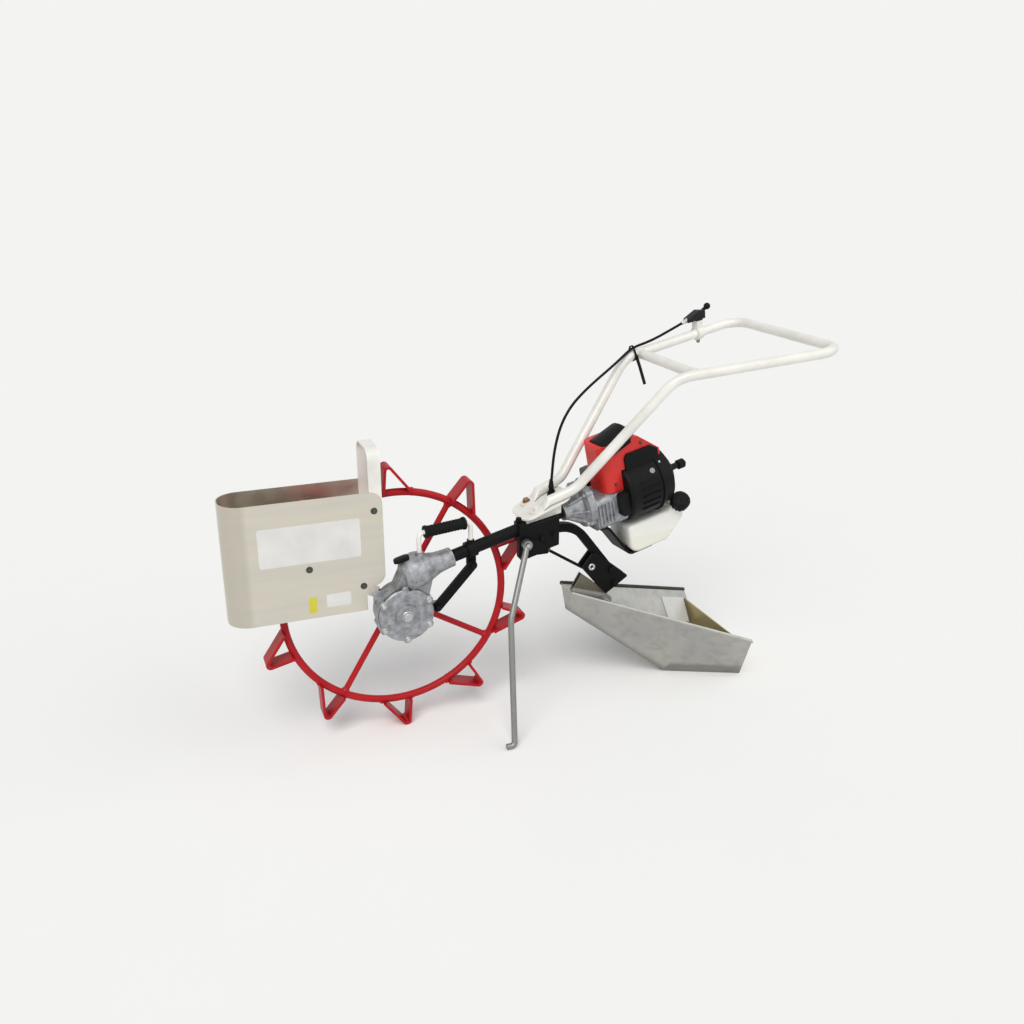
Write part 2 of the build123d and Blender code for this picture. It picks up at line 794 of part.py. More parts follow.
def handle_at(place, side):
    """A corner of the handle's path, given from the bracket's front, on one side of its middle plane."""
    return at(bracket_front + place[0], handle_middle + side * place[1], frame_z + place[2])


run_slope = (handle_low[2] - handle_front[2]) / (handle_low[0] - handle_front[0])
run_up = Vector(-run_slope, 0, 1).normalized()
run_drop = handle_radius / run_up.Z


def plate_top(x):
    """Height of the saddle plate's top, on which the handle's ends lie."""
    return frame_z + handle_front[2] + run_slope * (x - bracket_front - handle_front[0]) - run_drop


def tube_end(side):
    """Where the round tube starts behind its flattened end, and the way that it runs there."""
    run = (handle_at(handle_low, side) - handle_at(handle_front, side)).normalized()
    return handle_at(handle_front, side) + run * (tab_length + tab_taper), run


cross_share = (handle_cross - handle_high[0]) / (handle_rear[0] - handle_high[0])
cross_half = handle_high[1] + (handle_rear[1] - handle_high[1]) * cross_share
cross_rise = handle_high[2] + (handle_rear[2] - handle_high[2]) * cross_share
with BuildPart() as handle_loop:
    with BuildLine() as handle_path:
        FilletPolyline(
            tube_end(-1)[0], handle_at(handle_low, -1), handle_at(handle_high, -1),
            handle_at(handle_rear, -1), handle_at(handle_rear, 1), handle_at(handle_high, 1),
            handle_at(handle_low, 1), tube_end(1)[0],
            radius=(handle_low_bend, handle_high_bend, handle_rear_bend,
                    handle_rear_bend, handle_high_bend, handle_low_bend),
        )
    with BuildSketch(Plane(handle_path.line @ 0, z_dir=handle_path.line % 0)):
        Circle(handle_radius)
    sweep()
    for side in (-1, 1):
        round_end, run = tube_end(side)
        across = run_up.cross(run)
        flat_end = round_end - run * tab_taper - run_up * (handle_radius - tab_sheet / 2)
        with BuildSketch(Plane(round_end, x_dir=across, z_dir=run)):
            Circle(handle_radius)
        with BuildSketch(Plane(flat_end, x_dir=across, z_dir=run)):
            Ellipse(tab_width / 2, tab_sheet / 2)
        loft()
        with BuildSketch(Plane(flat_end - run_up * tab_sheet / 2, x_dir=run, z_dir=run_up)):
            with Locations((-(tab_length - tab_width / 2) / 2, 0)):
                Rectangle(tab_length - tab_width / 2, tab_width)
            with Locations((tab_width / 2 - tab_length, 0)):
                Circle(tab_width / 2)
        extrude(amount=tab_sheet)
    with BuildSketch(Plane(handle_at((handle_cross, cross_half, cross_rise), -1), z_dir=(0, 1, 0))):
        Circle(handle_radius)
    extrude(amount=2 * cross_half)

plate_front = bracket_front - plate_lead
plate_middle = plate_front + plate_length * run_up.Z / 2
saddle_low = bracket_over_axis + 1.0
saddle_front = plate_front + saddle_setback
saddle_rear = tube_front_x + tube_span * tube_along.X - saddle_setback
with BuildPart() as handle_plate:
    with BuildSketch(Plane(at(plate_middle, handle_middle, plate_top(plate_middle)), z_dir=run_up)):
        RectangleRounded(plate_length, 2 * plate_half, plate_corner)
    extrude(amount=-plate_sheet)
    with BuildSketch(side_plane(tube_y(saddle_rear) + tube_radius / 2)):
        Polygon(
            (saddle_front, plate_top(saddle_front) - plate_sheet),
            (saddle_front, tube_z(saddle_front) + saddle_low),
            (saddle_rear, tube_z(saddle_rear) + saddle_low),
            (saddle_rear, plate_top(saddle_rear) - plate_sheet), align=None,
        )
    extrude(amount=2 * tube_radius)
    with BuildSketch(tube_cross(0)):
        Circle(tube_radius + running_fit)
    extrude(amount=tube_span + tube_socket, mode=Mode.SUBTRACT)

# Engine: clutch housing with ribs and bolt bosses, and crankcase
with BuildPart() as clutch_housing:
    with BuildSketch(engine_side()):
        Polygon(
            (0, tube_radius + running_fit), (0, clutch_neck - 1.5), (clutch_flange, clutch_neck),
            (clutch_length - 1.4 * clutch_flange, clutch_radius * 0.7),
            (clutch_length - clutch_flange, clutch_radius),
            (clutch_length, clutch_radius), (clutch_length, 0), (tube_socket, 0),
            (tube_socket, tube_radius + running_fit), align=None,
        )
    revolve(axis=Axis(tube_at(tube_span), tube_along))
    for rib in range(clutch_ribs):
        turned = tube_right.rotate(Axis((0, 0, 0), tube_along), rib * 360.0 / clutch_ribs)
        with BuildSketch(Plane(tube_at(tube_span), x_dir=tube_along, z_dir=turned)):
            Polygon(
                (clutch_flange / 2, tube_radius + 2.0), (clutch_flange / 2, clutch_neck),
                (clutch_length - clutch_flange, clutch_radius - clutch_rib),
                (clutch_length - clutch_flange, tube_radius + 2.0), align=None,
            )
        extrude(amount=clutch_rib / 2, both=True)
    with BuildSketch(engine_cross(clutch_length)):
        with PolarLocations(clutch_radius - clutch_rib, clutch_ribs // 2, start_angle=45.0):
            Circle(2 * clutch_rib)
    extrude(amount=-clutch_flange)

crank_middle = (crank_top + crank_bottom) / 2
with BuildPart() as crankcase:
    with BuildSketch(engine_cross(clutch_length, crank_middle)):
        RectangleRounded(2 * crank_half, crank_top - crank_bottom, crank_round)
    extrude(amount=crank_length)

# Fan housing round the axis with its coil cover, and the vented starter cover behind it
fan_start = clutch_length + crank_length
starter_start = fan_start + fan_length
starter_end = starter_start + starter_length
with BuildPart() as fan_housing:
    with BuildSketch(engine_cross(fan_start)):
        Circle(fan_radius)
    extrude(amount=fan_length)
    fillet(fan_housing.edges().filter_by(GeomType.CIRCLE).sort_by(Axis.X)[:1], fan_round)
    with BuildSketch(engine_side(-crank_half - shroud_gap)):
        with Locations((fan_start, crank_top - coil_cover_height / 2)):
            RectangleRounded(2 * coil_cover_length, coil_cover_height, fan_round)
    extrude(amount=coil_cover_depth)

with BuildPart() as starter_cover:
    with BuildSketch(engine_side()):
        Polygon(
            (starter_start, 0), (starter_start, fan_radius + starter_rim),
            (starter_start + starter_rim_length, fan_radius + starter_rim),
            (starter_start + starter_rim_length, fan_radius - starter_rim),
            (starter_start + starter_length * 0.6, fan_radius - 2 * starter_rim),
            (starter_end - starter_rim_length, fan_radius * 0.6), (starter_end, fan_radius * 0.45),
            (starter_end, 0), align=None,
        )
    revolve(axis=Axis(tube_at(tube_span), tube_along))
    with BuildSketch(engine_cross(starter_end)):
        with PolarLocations(vent_ring, vent_count):
            Rectangle(vent_length, vent_width)
    extrude(amount=-starter_length * 0.45, mode=Mode.SUBTRACT)

recoil_seat = tube_at(tube_span + starter_end, recoil_right, recoil_up)
with BuildPart() as recoil_handle:
    with BuildSketch(Plane(recoil_seat, x_dir=tube_along, z_dir=-tube_right)):
        Polygon(
            (0, 0), (0, recoil_grip * 0.8), (recoil_neck, recoil_neck), (4 * recoil_neck, recoil_neck),
            (5 * recoil_neck, recoil_grip), (8 * recoil_neck, recoil_grip),
            (9 * recoil_neck, recoil_grip / 2), (9 * recoil_neck, 0), align=None,
        )
    revolve(axis=Axis(recoil_seat, tube_along))

# Shroud over the cylinder, rounded at the front and sloping down behind, with its top cover
shroud_front = clutch_length + shroud_lead
shroud_top = crank_top + shroud_height
shroud_end = fan_start + shroud_rear
shroud_ridge = shroud_end - shroud_rear / 2
with BuildPart() as engine_shroud:
    with BuildSketch(engine_side()) as shroud_side:
        with BuildLine():
            Polyline(
                (shroud_front, crank_top), (shroud_front, shroud_top), (shroud_ridge, shroud_top),
                (shroud_end, fan_radius + 2 * starter_rim), (shroud_end, fan_radius * 0.8),
                (fan_start, crank_top), close=True,
            )
        make_face()
        fillet(shroud_side.vertices().group_by(Axis.Y)[-1], shroud_round)
    extrude(amount=shroud_half, both=True)
    with BuildSketch(Plane(tube_at(tube_span), x_dir=tube_along, z_dir=tube_up)) as shroud_plan:
        with BuildLine():
            Polyline(
                (shroud_front, -shroud_half), (shroud_front, shroud_half), (shroud_end, shroud_half),
                (shroud_end, -shroud_half), close=True,
            )
        make_face()
        fillet(shroud_plan.vertices().sort_by(Axis(tube_at(tube_span), tube_along))[:2], shroud_bend)
    extrude(amount=2 * shroud_top, mode=Mode.INTERSECT)
    with BuildSketch(engine_cross(fan_start - shroud_gap)):
        Circle(fan_radius + shroud_gap)
    extrude(amount=fan_length - shroud_gap, mode=Mode.SUBTRACT)
    with BuildSketch(engine_cross(starter_start - 2 * shroud_gap)):
        Circle(fan_radius + starter_rim + shroud_gap)
    extrude(amount=starter_length, mode=Mode.SUBTRACT)

cover_start = shroud_front + cover_front
cover_end = cover_start + cover_length
with BuildPart() as top_cover:
    with BuildSketch(engine_side()) as cover_side:
        with BuildLine():
            Polyline(
                (cover_start, shroud_top - cover_rise),
                (cover_start + cover_rise / 4, shroud_top + cover_rise / 3),
                (cover_end - cover_rise, shroud_top + cover_rise), (cover_end, shroud_top + cover_rise / 2),
                (cover_end, shroud_top - cover_rise), close=True,
            )
        make_face()
        fillet(cover_side.vertices().sort_by(Axis.Y)[2:], shroud_round)
    extrude(amount=shroud_half + cover_skirt, both=True)
    add(engine_shroud.part, mode=Mode.SUBTRACT)

# Exhaust box and air cleaner on the far side, fuel tank below with its cap and guard
with BuildPart() as muffler:
    with BuildSketch(engine_side(shroud_half)):
        with Locations((shroud_front + muffler_length / 2, crank_top + muffler_height * 0.85)):
            RectangleRounded(muffler_length, muffler_height, muffler_round)
    extrude(amount=-muffler_depth)
    fillet(muffler.faces().sort_by(Axis.Y)[-1].edges(), muffler_round / 2)

with BuildPart() as air_cleaner:
    with BuildSketch(engine_side(crank_half)):
        with Locations((clutch_length + muffler_length, crank_middle + cleaner_round)):
            RectangleRounded(cleaner_length, cleaner_height, cleaner_round)
    extrude(amount=-cleaner_depth)
    fillet(air_cleaner.faces().sort_by(Axis.Y)[-1].edges(), cleaner_round / 2)

tank_start = fan_start + tank_front
tank_end = tank_start + tank_length
tank_top = -fan_radius - tank_gap
tank_bottom = tank_top - tank_height
shoulder_end = tank_end + tank_shoulder
shoulder_top = tank_top + tank_shoulder_rise
filler_out = (tube_up - tube_right).normalized()
filler_edge = tube_at(tube_span + tank_end + tank_shoulder * 0.6, -tank_half, shoulder_top)
filler = filler_edge - filler_out
with BuildPart() as fuel_tank:
    with BuildSketch(engine_side()):
        with BuildLine():
            FilletPolyline(
                (tank_start, tank_top), (tank_start, tank_bottom), (tank_end - tank_shoulder, tank_bottom),
                (shoulder_end, tank_top - tank_height * 0.4), (shoulder_end, shoulder_top),
                (tank_end, shoulder_top), (tank_end - tank_shoulder_rise, tank_top), close=True,
                radius=(tank_round, 2 * tank_round, 2 * tank_round, tank_round, tank_round, tank_round,
                        tank_edge),
            )
        make_face()
    extrude(amount=tank_half, both=True)
    tank_sides = fuel_tank.faces().filter_by(Plane(tube_front, z_dir=tube_right))
    fillet(tank_sides.edges(), tank_edge)
    with BuildSketch(Plane(filler, z_dir=filler_out)):
        Circle(filler_radius)
    extrude(amount=-filler_length)

with BuildPart() as fuel_cap:
    with BuildSketch(Plane(filler, z_dir=filler_out)):
        Circle(fuel_cap_radius)
    extrude(amount=fuel_cap_length)
    fillet(fuel_cap.edges().filter_by(GeomType.CIRCLE).sort_by(Axis.Y)[:1], fuel_cap_length / 5)
    with BuildSketch(Plane(filler, z_dir=filler_out)):
        with PolarLocations(fuel_cap_radius, fuel_cap_flutes):
            Circle(fuel_cap_length / 10)
    extrude(amount=fuel_cap_length, mode=Mode.SUBTRACT)

with BuildPart() as tank_guard:
    with BuildSketch(engine_side()):
        with BuildLine():
            FilletPolyline(
                (clutch_length + 2 * guard_bar, crank_bottom - guard_bar / 2),
                (clutch_length + 5 * guard_bar, crank_bottom - guard_bar / 2),
                (tank_start, tank_bottom - guard_bar / 2),
                (tank_start + tank_length / 2, tank_bottom - guard_bar / 2), radius=3 * guard_bar,
            )
        trace(line_width=guard_bar)
    extrude(amount=tank_half * 0.7, both=True)

# Throttle lever on the right rail, its cable, the strap and the boot on the plate
rail_run = (handle_at(handle_rear, 1) - handle_at(handle_high, 1)).normalized()
rail_out = rail_run.cross(Vector(0, 0, 1)).normalized()
rail_up = rail_out.cross(rail_run)


def rail_at(run, up=0.0):
    """A place along the right rail from its upper corner, and above its axis."""
    return handle_at(handle_high, 1) + rail_run * run + rail_up * up


lever_plane = Plane(rail_at(throttle_run), x_dir=rail_run, z_dir=rail_out)
pedestal_top = handle_radius + 2.5 * throttle_half
lever_pivot = (throttle_half, pedestal_top + throttle_half * 1.4)
lever_knob = (3.7 * throttle_half, pedestal_top + throttle_half * 2.6)
with BuildPart() as throttle_clamp:
    with BuildSketch(Plane(rail_at(throttle_run - throttle_half), z_dir=rail_run)):
        Circle(handle_radius + throttle_ring)
    extrude(amount=2 * throttle_half)
    with BuildSketch(lever_plane) as lever_body:
        with BuildLine():
            Polyline(
                (-throttle_half, 0), (-throttle_half, pedestal_top), (-4 * throttle_half, pedestal_top),
                (-4 * throttle_half, pedestal_top + throttle_half), (0, pedestal_top + 2.4 * throttle_half),
                (2 * throttle_half, pedestal_top + 2 * throttle_half), (2 * throttle_half, pedestal_top),
                (throttle_half, pedestal_top), (throttle_half, 0), close=True,
            )
        make_face()
        fillet(lever_body.vertices().sort_by(Axis.Y)[-2:], throttle_half / 3)
    extrude(amount=throttle_half, both=True)
    with BuildSketch(lever_plane):
        with Locations(lever_pivot):
            Circle(throttle_half)
        with Locations((2 * throttle_half, pedestal_top + 2.2 * throttle_half)):
            Rectangle(2 * throttle_half, 2 * throttle_half)
    extrude(amount=throttle_half / 3 + shroud_gap, both=True, mode=Mode.SUBTRACT)
    with BuildSketch(lever_plane):
        with Locations(lever_pivot):
            Circle(throttle_half / 3 - running_fit)
    extrude(amount=throttle_half, both=True)
    with BuildSketch(Plane(rail_at(throttle_run - 2 * throttle_half), z_dir=rail_run)):
        Circle(handle_radius + running_fit)
    extrude(amount=4 * throttle_half, mode=Mode.SUBTRACT)

with BuildPart() as throttle_lever:
    with BuildSketch(lever_plane):
        with Locations(lever_pivot):
            Circle(throttle_half * 0.8)
        with BuildLine():
            Line(lever_pivot, lever_knob)
        trace(line_width=throttle_half * 0.7)
    extrude(amount=throttle_half / 3, both=True)
    with Locations(Location(lever_plane.from_local_coords(lever_knob))):
        Sphere(throttle_ball)
    with BuildSketch(lever_plane):
        with Locations(lever_pivot):
            Circle(throttle_half / 3)
    extrude(amount=throttle_half, both=True, mode=Mode.SUBTRACT)

boot_x = bracket_front + boot_setback
boot_top = at(boot_x, boot_y, plate_top(boot_x) + boot_height)
with BuildPart() as cable_boot:
    with BuildSketch(Plane(at(boot_x, boot_y, plate_top(boot_x)), z_dir=run_up)):
        Circle(boot_radius)
    extrude(amount=boot_height * 0.5, dir=(0, 0, 1))
    with BuildSketch(Plane(boot_top)):
        Circle(boot_radius * 0.6)
    extrude(amount=-boot_height * 0.7)

# The cable rises from the boot, comes to lie on the right rail at the strap and runs on to the lever
cable_rest = handle_radius + cable_radius + cable_slack
cable_free = (
    (2, 0, 39), (8, 1, 87), (23, 7, 132), (51, 20, 168), (90, 38, 193.5), (133, 59.5, 214), (171, 76, 231.5),
    (208, 93, 250),
)
cable_end = rail_at(throttle_run - 4 * throttle_half, pedestal_top + throttle_half / 2)
cable_points = [boot_top] + [boot_top + Vector(*place) for place in cable_free]
cable_points += [rail_at(strap_run, cable_rest + cable_sag), rail_at(80, 18.5), rail_at(138, 27.5), cable_end]
cable_bends = []
for before, corner, after in zip(cable_points, cable_points[1:], cable_points[2:]):
    turn = (corner - before).get_angle(after - corner)
    shorter = min((corner - before).length, (after - corner).length)
    cable_bends.append(0.45 * shorter / tan(radians(turn / 2)))
print("cable radii", [round(bend) for bend in cable_bends])
with BuildPart() as throttle_cable:
    with BuildLine() as cable_path:
        FilletPolyline(*cable_points, radius=cable_bends)
    with BuildSketch(Plane(cable_path.line @ 0, z_dir=cable_path.line % 0)):
        Circle(cable_radius)
    sweep()

strap_plane = Plane(rail_at(strap_run - strap_width / 2), x_dir=rail_up, z_dir=rail_run)
with BuildPart() as cable_strap:
    for skin, mode in ((strap_sheet, Mode.ADD), (0.0, Mode.SUBTRACT)):
        with BuildSketch(strap_plane):
            with BuildLine():
                CenterArc((0, 0), handle_radius + strap_slack + skin, 0, 360)
                CenterArc((cable_rest + cable_sag / 2, 0), cable_radius + 2 * strap_slack + skin, 0, 360)
            make_hull()
        extrude(amount=strap_width, mode=mode)

for piece, node in (
    (wheel, "wheel"),
    (wheel_axle, "wheel_axle"),
    (gear_case, "gear_case"),
    (gear_cover, "gear_cover"),
    (case_cap, "case_cap"),
    (drive_tube, "drive_tube"),
    (tube_clamp, "tube_clamp"),
    (brace_strut, "brace_strut"),
    (carry_bar, "carry_bar"),
    (carry_grip, "carry_grip"),
    (guard, "guard"),
    (guard_stay, "guard_stay"),
    (guard_bridge, "guard_bridge"),
    (frame_bracket, "frame_bracket"),
    (side_stand, "side_stand"),
    (plough_arm, "plough_arm"),
    (plough_holder, "plough_holder"),
    (adjuster_rod, "adjuster_rod"),
    (plough_hull, "plough_hull"),
    (plough_transom, "plough_transom"),
    (handle_loop, "handle_loop"),
    (handle_plate, "handle_plate"),
    (clutch_housing, "clutch_housing"),
    (crankcase, "crankcase"),
    (fan_housing, "fan_housing"),
    (starter_cover, "starter_cover"),
    (recoil_handle, "recoil_handle"),
    (engine_shroud, "engine_shroud"),
    (top_cover, "top_cover"),
    (muffler, "muffler"),
    (air_cleaner, "air_cleaner"),
    (fuel_tank, "fuel_tank"),
    (fuel_cap, "fuel_cap"),
    (tank_guard, "tank_guard"),
    (throttle_clamp, "throttle_clamp"),
    (throttle_lever, "throttle_lever"),
    (cable_boot, "cable_boot"),
    (throttle_cable, "throttle_cable"),
    (cable_strap, "cable_strap"),
):
    piece.part.label = node
    export_step(piece.part, f"parts/{node}.step")
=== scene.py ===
"""Looks of a walk-behind paddy ditcher: finishes, fasteners, welds and small fittings on its packed frame."""

import json
import logging
import math
from collections.abc import Iterable, Iterator, Sequence
from contextlib import contextmanager
from dataclasses import dataclass, field
from enum import Enum

import bpy
from mathutils import Matrix, Vector


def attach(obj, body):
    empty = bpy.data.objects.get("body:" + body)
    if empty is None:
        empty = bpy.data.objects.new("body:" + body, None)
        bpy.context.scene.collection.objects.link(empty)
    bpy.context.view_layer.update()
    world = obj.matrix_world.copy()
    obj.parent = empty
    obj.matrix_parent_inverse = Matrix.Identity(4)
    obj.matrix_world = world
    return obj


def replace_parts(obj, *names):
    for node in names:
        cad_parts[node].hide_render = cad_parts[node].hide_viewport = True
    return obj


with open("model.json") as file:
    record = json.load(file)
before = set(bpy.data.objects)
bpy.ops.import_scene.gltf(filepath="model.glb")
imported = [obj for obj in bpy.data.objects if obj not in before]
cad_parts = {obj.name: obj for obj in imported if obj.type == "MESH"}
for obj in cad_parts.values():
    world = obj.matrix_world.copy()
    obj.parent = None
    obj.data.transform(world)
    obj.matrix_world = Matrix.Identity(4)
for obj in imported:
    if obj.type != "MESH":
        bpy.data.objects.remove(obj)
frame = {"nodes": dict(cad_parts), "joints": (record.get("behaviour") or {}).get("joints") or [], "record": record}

LOG = logging.getLogger("paddy_ditcher")
MM = 0.001
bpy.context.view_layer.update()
JOINTS = {joint["name"]: Vector(joint["pos_m"]) for joint in frame["joints"]}
AXLE = JOINTS["wheel_spin"]
STAND_PIVOT = JOINTS["stand_swing"]
LEFT = Vector((0.0, -1.0, 0.0))
UP = Vector((0.0, 0.0, 1.0))
SIDES = (-1.0, 1.0)
# How far a bolt's washer sinks into its face, in millimetres
SINK = 0.2
# Lengths below this count as nothing, in metres
TINY = 1e-6

Colour = tuple[float, float, float]
Place = tuple[float, float, float]
Profile = Sequence[tuple[float, float]]
Piece = bpy.types.Object
Material = bpy.types.Material


class Body(Enum):
    """The rigid bodies that fittings ride on."""

    FRAME = "frame"
    WHEEL = "wheel"


class Brushing(Enum):
    """Direction of the fine lines in a brushed sheet, as noise stretch along X, Y and Z."""

    LEVEL = (6.0, 6.0, 900.0)
    UPRIGHT = (500.0, 500.0, 6.0)


def at(x: float, y: float, z: float) -> Vector:
    """A place in millimetres from the wheel's centre, as metres in the frame."""
    return AXLE + Vector((x, y, z)) * MM


def flat(pairs: Profile) -> list[Vector]:
    """Pairs in millimetres as places in the XY plane, in metres."""
    return [Vector((x, y, 0.0)) * MM for x, y in pairs]


def pose(origin: Vector, outward: Vector, along: Vector = UP) -> Matrix:
    """Seat for a piece whose own +Z is its outward direction.

    Args:
        origin: Where the piece's base stands.
        outward: Direction of the piece's own +Z.
        along: Direction that the piece's own +Y leans towards.

    Returns:
        The placing matrix.
    """
    z = outward.normalized()
    x = along.cross(z)
    if x.length < TINY:
        x = Vector((1.0, 0.0, 0.0)).cross(z)
    x.normalize()
    y = z.cross(x)
    return Matrix.Translation(origin) @ Matrix((x, y, z)).transposed().to_4x4()


def on_left(places: Profile, y: float) -> list[Matrix]:
    """Seats at (x, z) places in millimetres on a left face, looking left."""
    return [pose(at(x, y, z), LEFT) for x, z in places]


def on_both(places: Profile, y: float) -> list[Matrix]:
    """Seats at (x, z) places in millimetres on both sides, looking away from the middle."""
    return [pose(at(x, side * y, z), Vector((0.0, side, 0.0))) for x, z in places for side in SIDES]


class Signal:
    """A shader socket that takes part in Python arithmetic."""

    def __init__(self, graph: "ShaderGraph", socket: bpy.types.NodeSocket) -> None:
        """Wraps one output socket of a graph."""
        self.graph = graph
        self.socket = socket

    def _math(self, operation: str, first: "Number", second: "Number") -> "Signal":
        """One Math node on two numbers."""
        return self.graph.node("ShaderNodeMath", {"operation": operation}, {0: first, 1: second})

    def __add__(self, other: "Number") -> "Signal":
        """Sum."""
        return self._math("ADD", self, other)

    def __radd__(self, other: "Number") -> "Signal":
        """Sum, with the number first."""
        return self._math("ADD", other, self)

    def __sub__(self, other: "Number") -> "Signal":
        """Difference."""
        return self._math("SUBTRACT", self, other)

    def __rsub__(self, other: "Number") -> "Signal":
        """Difference, with the number first."""
        return self._math("SUBTRACT", other, self)

    def __mul__(self, other: "Number") -> "Signal":
        """Product."""
        return self._math("MULTIPLY", self, other)

    def __rmul__(self, other: "Number") -> "Signal":
        """Product, with the number first."""
        return self._math("MULTIPLY", other, self)

    def above(self, other: "Number") -> "Signal":
        """The larger of two numbers."""
        return self._math("MAXIMUM", self, other)


Number = float | Signal
Tint = Colour | Signal
Sockets = dict[str, float | Colour | Signal]


class ShaderGraph:
    """Nodes of one material or world, added by type."""

    def __init__(self, owner: Material | bpy.types.World) -> None:
        """Empties the node tree of a material or world.

        Args:
            owner: The material or world.
        """
        self.owner = owner
        owner.use_nodes = True
        self.tree = owner.node_tree
        self.tree.nodes.clear()

    def node(self, kind: str, settings: dict | None = None, inputs: dict | None = None,
             out: int | str = 0) -> Signal:
        """Adds a node.

        Args:
            kind: The node's type.
            settings: Attributes that are set first.
            inputs: Values or signals by socket name or number.
            out: The output socket that is wanted.

        Returns:
            That output as a signal.
        """
        made = self.tree.nodes.new(kind)
        for key, value in (settings or {}).items():
            setattr(made, key, value)
        for key, value in (inputs or {}).items():
            if isinstance(value, Signal):
                self.tree.links.new(value.socket, made.inputs[key])
            else:
                made.inputs[key].default_value = value
        return Signal(self, made.outputs[out])

    def place(self, stretch: Place = (1.0, 1.0, 1.0)) -> Signal:
        """Object coordinates, stretched along the axes."""
        own = self.node("ShaderNodeTexCoord", out="Object")
        return self.node("ShaderNodeMapping", inputs={"Vector": own, "Scale": stretch})

    def axis(self, letter: str) -> Signal:
        """One Object coordinate by its letter, in metres."""
        return self.node("ShaderNodeSeparateXYZ", inputs={"Vector": self.place()}, out=letter)

    def noise(self, scale: float, detail: float = 3.0, stretch: Place = (1.0, 1.0, 1.0)) -> Signal:
        """Soft noise from 0 to 1, with scale in features per metre."""
        return self.node("ShaderNodeTexNoise", inputs={
            "Vector": self.place(stretch), "Scale": scale, "Detail": detail, "Roughness": 0.55})

    def between(self, value: Signal, low: float, high: float) -> Signal:
        """0 below low, 1 above high and straight between them."""
        return self.node("ShaderNodeMapRange", {"clamp": True}, {
            "Value": value, "From Min": low, "From Max": high, "To Min": 0.0, "To Max": 1.0})

    def mix(self, first: Tint, second: Tint, share: Signal) -> Signal:
        """One colour turning into another."""
        pair = [value if isinstance(value, Signal) else (*value, 1.0) for value in (first, second)]
        return self.node("ShaderNodeMix", {"data_type": "RGBA"}, {0: share, 6: pair[0], 7: pair[1]}, out=2)

    def bump(self, height: Signal, strength: float, distance: float) -> Signal:
        """A normal raised by height over distance in metres."""
        return self.node("ShaderNodeBump", inputs={
            "Height": height, "Strength": strength, "Distance": distance})

    def close(self, shader: Signal) -> None:
        """Links a shader to the owner's output.

        Args:
            shader: The last shader.
        """
        kind = "Material" if isinstance(self.owner, Material) else "World"
        output = self.tree.nodes.new("ShaderNodeOutput" + kind)
        self.tree.links.new(shader.socket, output.inputs["Surface"])

    def surface(self, **inputs: float | Colour | Signal) -> Material:
        """Ends the material in one Principled shader.

        Args:
            inputs: Socket values by name, with _ for a space.

        Returns:
            The material.
        """
        sockets = {key.replace("_", " "): value for key, value in inputs.items()}
        self.close(self.node("ShaderNodeBsdfPrincipled", inputs=sockets))
        return self.owner


def shade(colour: Colour, factor: float) -> Colour:
    """A colour made darker or lighter by one factor."""
    return tuple(min(1.0, channel * factor) for channel in colour)


@dataclass(frozen=True)
class Finish:
    """What every finish has: a name and a main colour."""

    name: str
    colour: Colour

    def sockets(self, graph: ShaderGraph) -> Sockets:
        """The shader's sockets by name, which each finish fills in its own way."""
        raise NotImplementedError

    def shades(self, graph: ShaderGraph, dark: float, light: float, share: Signal) -> Signal:
        """The main colour, varied between two factors."""
        return graph.mix(shade(self.colour, dark), shade(self.colour, light), share)

    def material(self) -> Material:
        """The finish as a new material."""
        graph = ShaderGraph(bpy.data.materials.new(self.name))
        return graph.surface(**self.sockets(graph))


@dataclass(frozen=True)
class Paint(Finish):
    """Sprayed enamel on steel, with slight orange peel and dulled patches."""

    roughness: float = 0.3
    coat: float = 0.35
    dust: Colour = (0.42, 0.38, 0.33)
    dusting: float = 0.06
    gloss: float = 0.5

    def sockets(self, graph: ShaderGraph) -> Sockets:
        """Clouded enamel with specks of dust, over orange peel.

        Args:
            graph: The material's nodes.

        Returns:
            The shader's sockets by name.
        """
        cloud = graph.noise(14.0)
        specks = graph.between(graph.noise(260.0, 2.0), 0.66, 0.74)
        tone = self.shades(graph, 0.86, 1.06, graph.between(cloud, 0.3, 0.7))
        peel = graph.noise(420.0, 2.0)
        return dict(
            Base_Color=graph.mix(tone, self.dust, specks * self.dusting),
            Roughness=self.roughness + 0.16 * cloud, Specular_IOR_Level=self.gloss,
            Coat_Weight=self.coat, Coat_Roughness=0.18, Normal=graph.bump(peel, 0.12, 0.0006))


@dataclass(frozen=True)
class BrushedSheet(Finish):
    """Satin sheet metal with fine brushed lines and cloudy handling marks."""

    warm: Colour
    lines: Brushing = Brushing.LEVEL
    roughness: float = 0.3

    def streak(self, graph: ShaderGraph) -> Signal:
        """The fine brushed lines."""
        return graph.noise(1.0, 2.0, self.lines.value)

    def tone(self, graph: ShaderGraph, cloud: Signal) -> Signal:
        """The sheet's colour, which turns warmer in clouds."""
        return graph.mix(self.colour, self.warm, graph.between(cloud, 0.35, 0.65))

    def clouds(self, graph: ShaderGraph) -> Signal:
        """The sheet's colour with round clouds in it."""
        return self.tone(graph, graph.noise(7.0, 4.0))

    def sockets(self, graph: ShaderGraph) -> Sockets:
        """Bare metal, rougher along its lines and where hands have smeared it.

        Args:
            graph: The material's nodes.

        Returns:
            The shader's sockets by name.
        """
        streak = self.streak(graph)
        smear = graph.between(graph.noise(26.0, 3.0), 0.42, 0.72)
        return dict(
            Base_Color=self.clouds(graph), Metallic=1.0,
            Roughness=self.roughness + 0.12 * streak + 0.1 * smear, Normal=graph.bump(streak, 0.07, 0.0004))


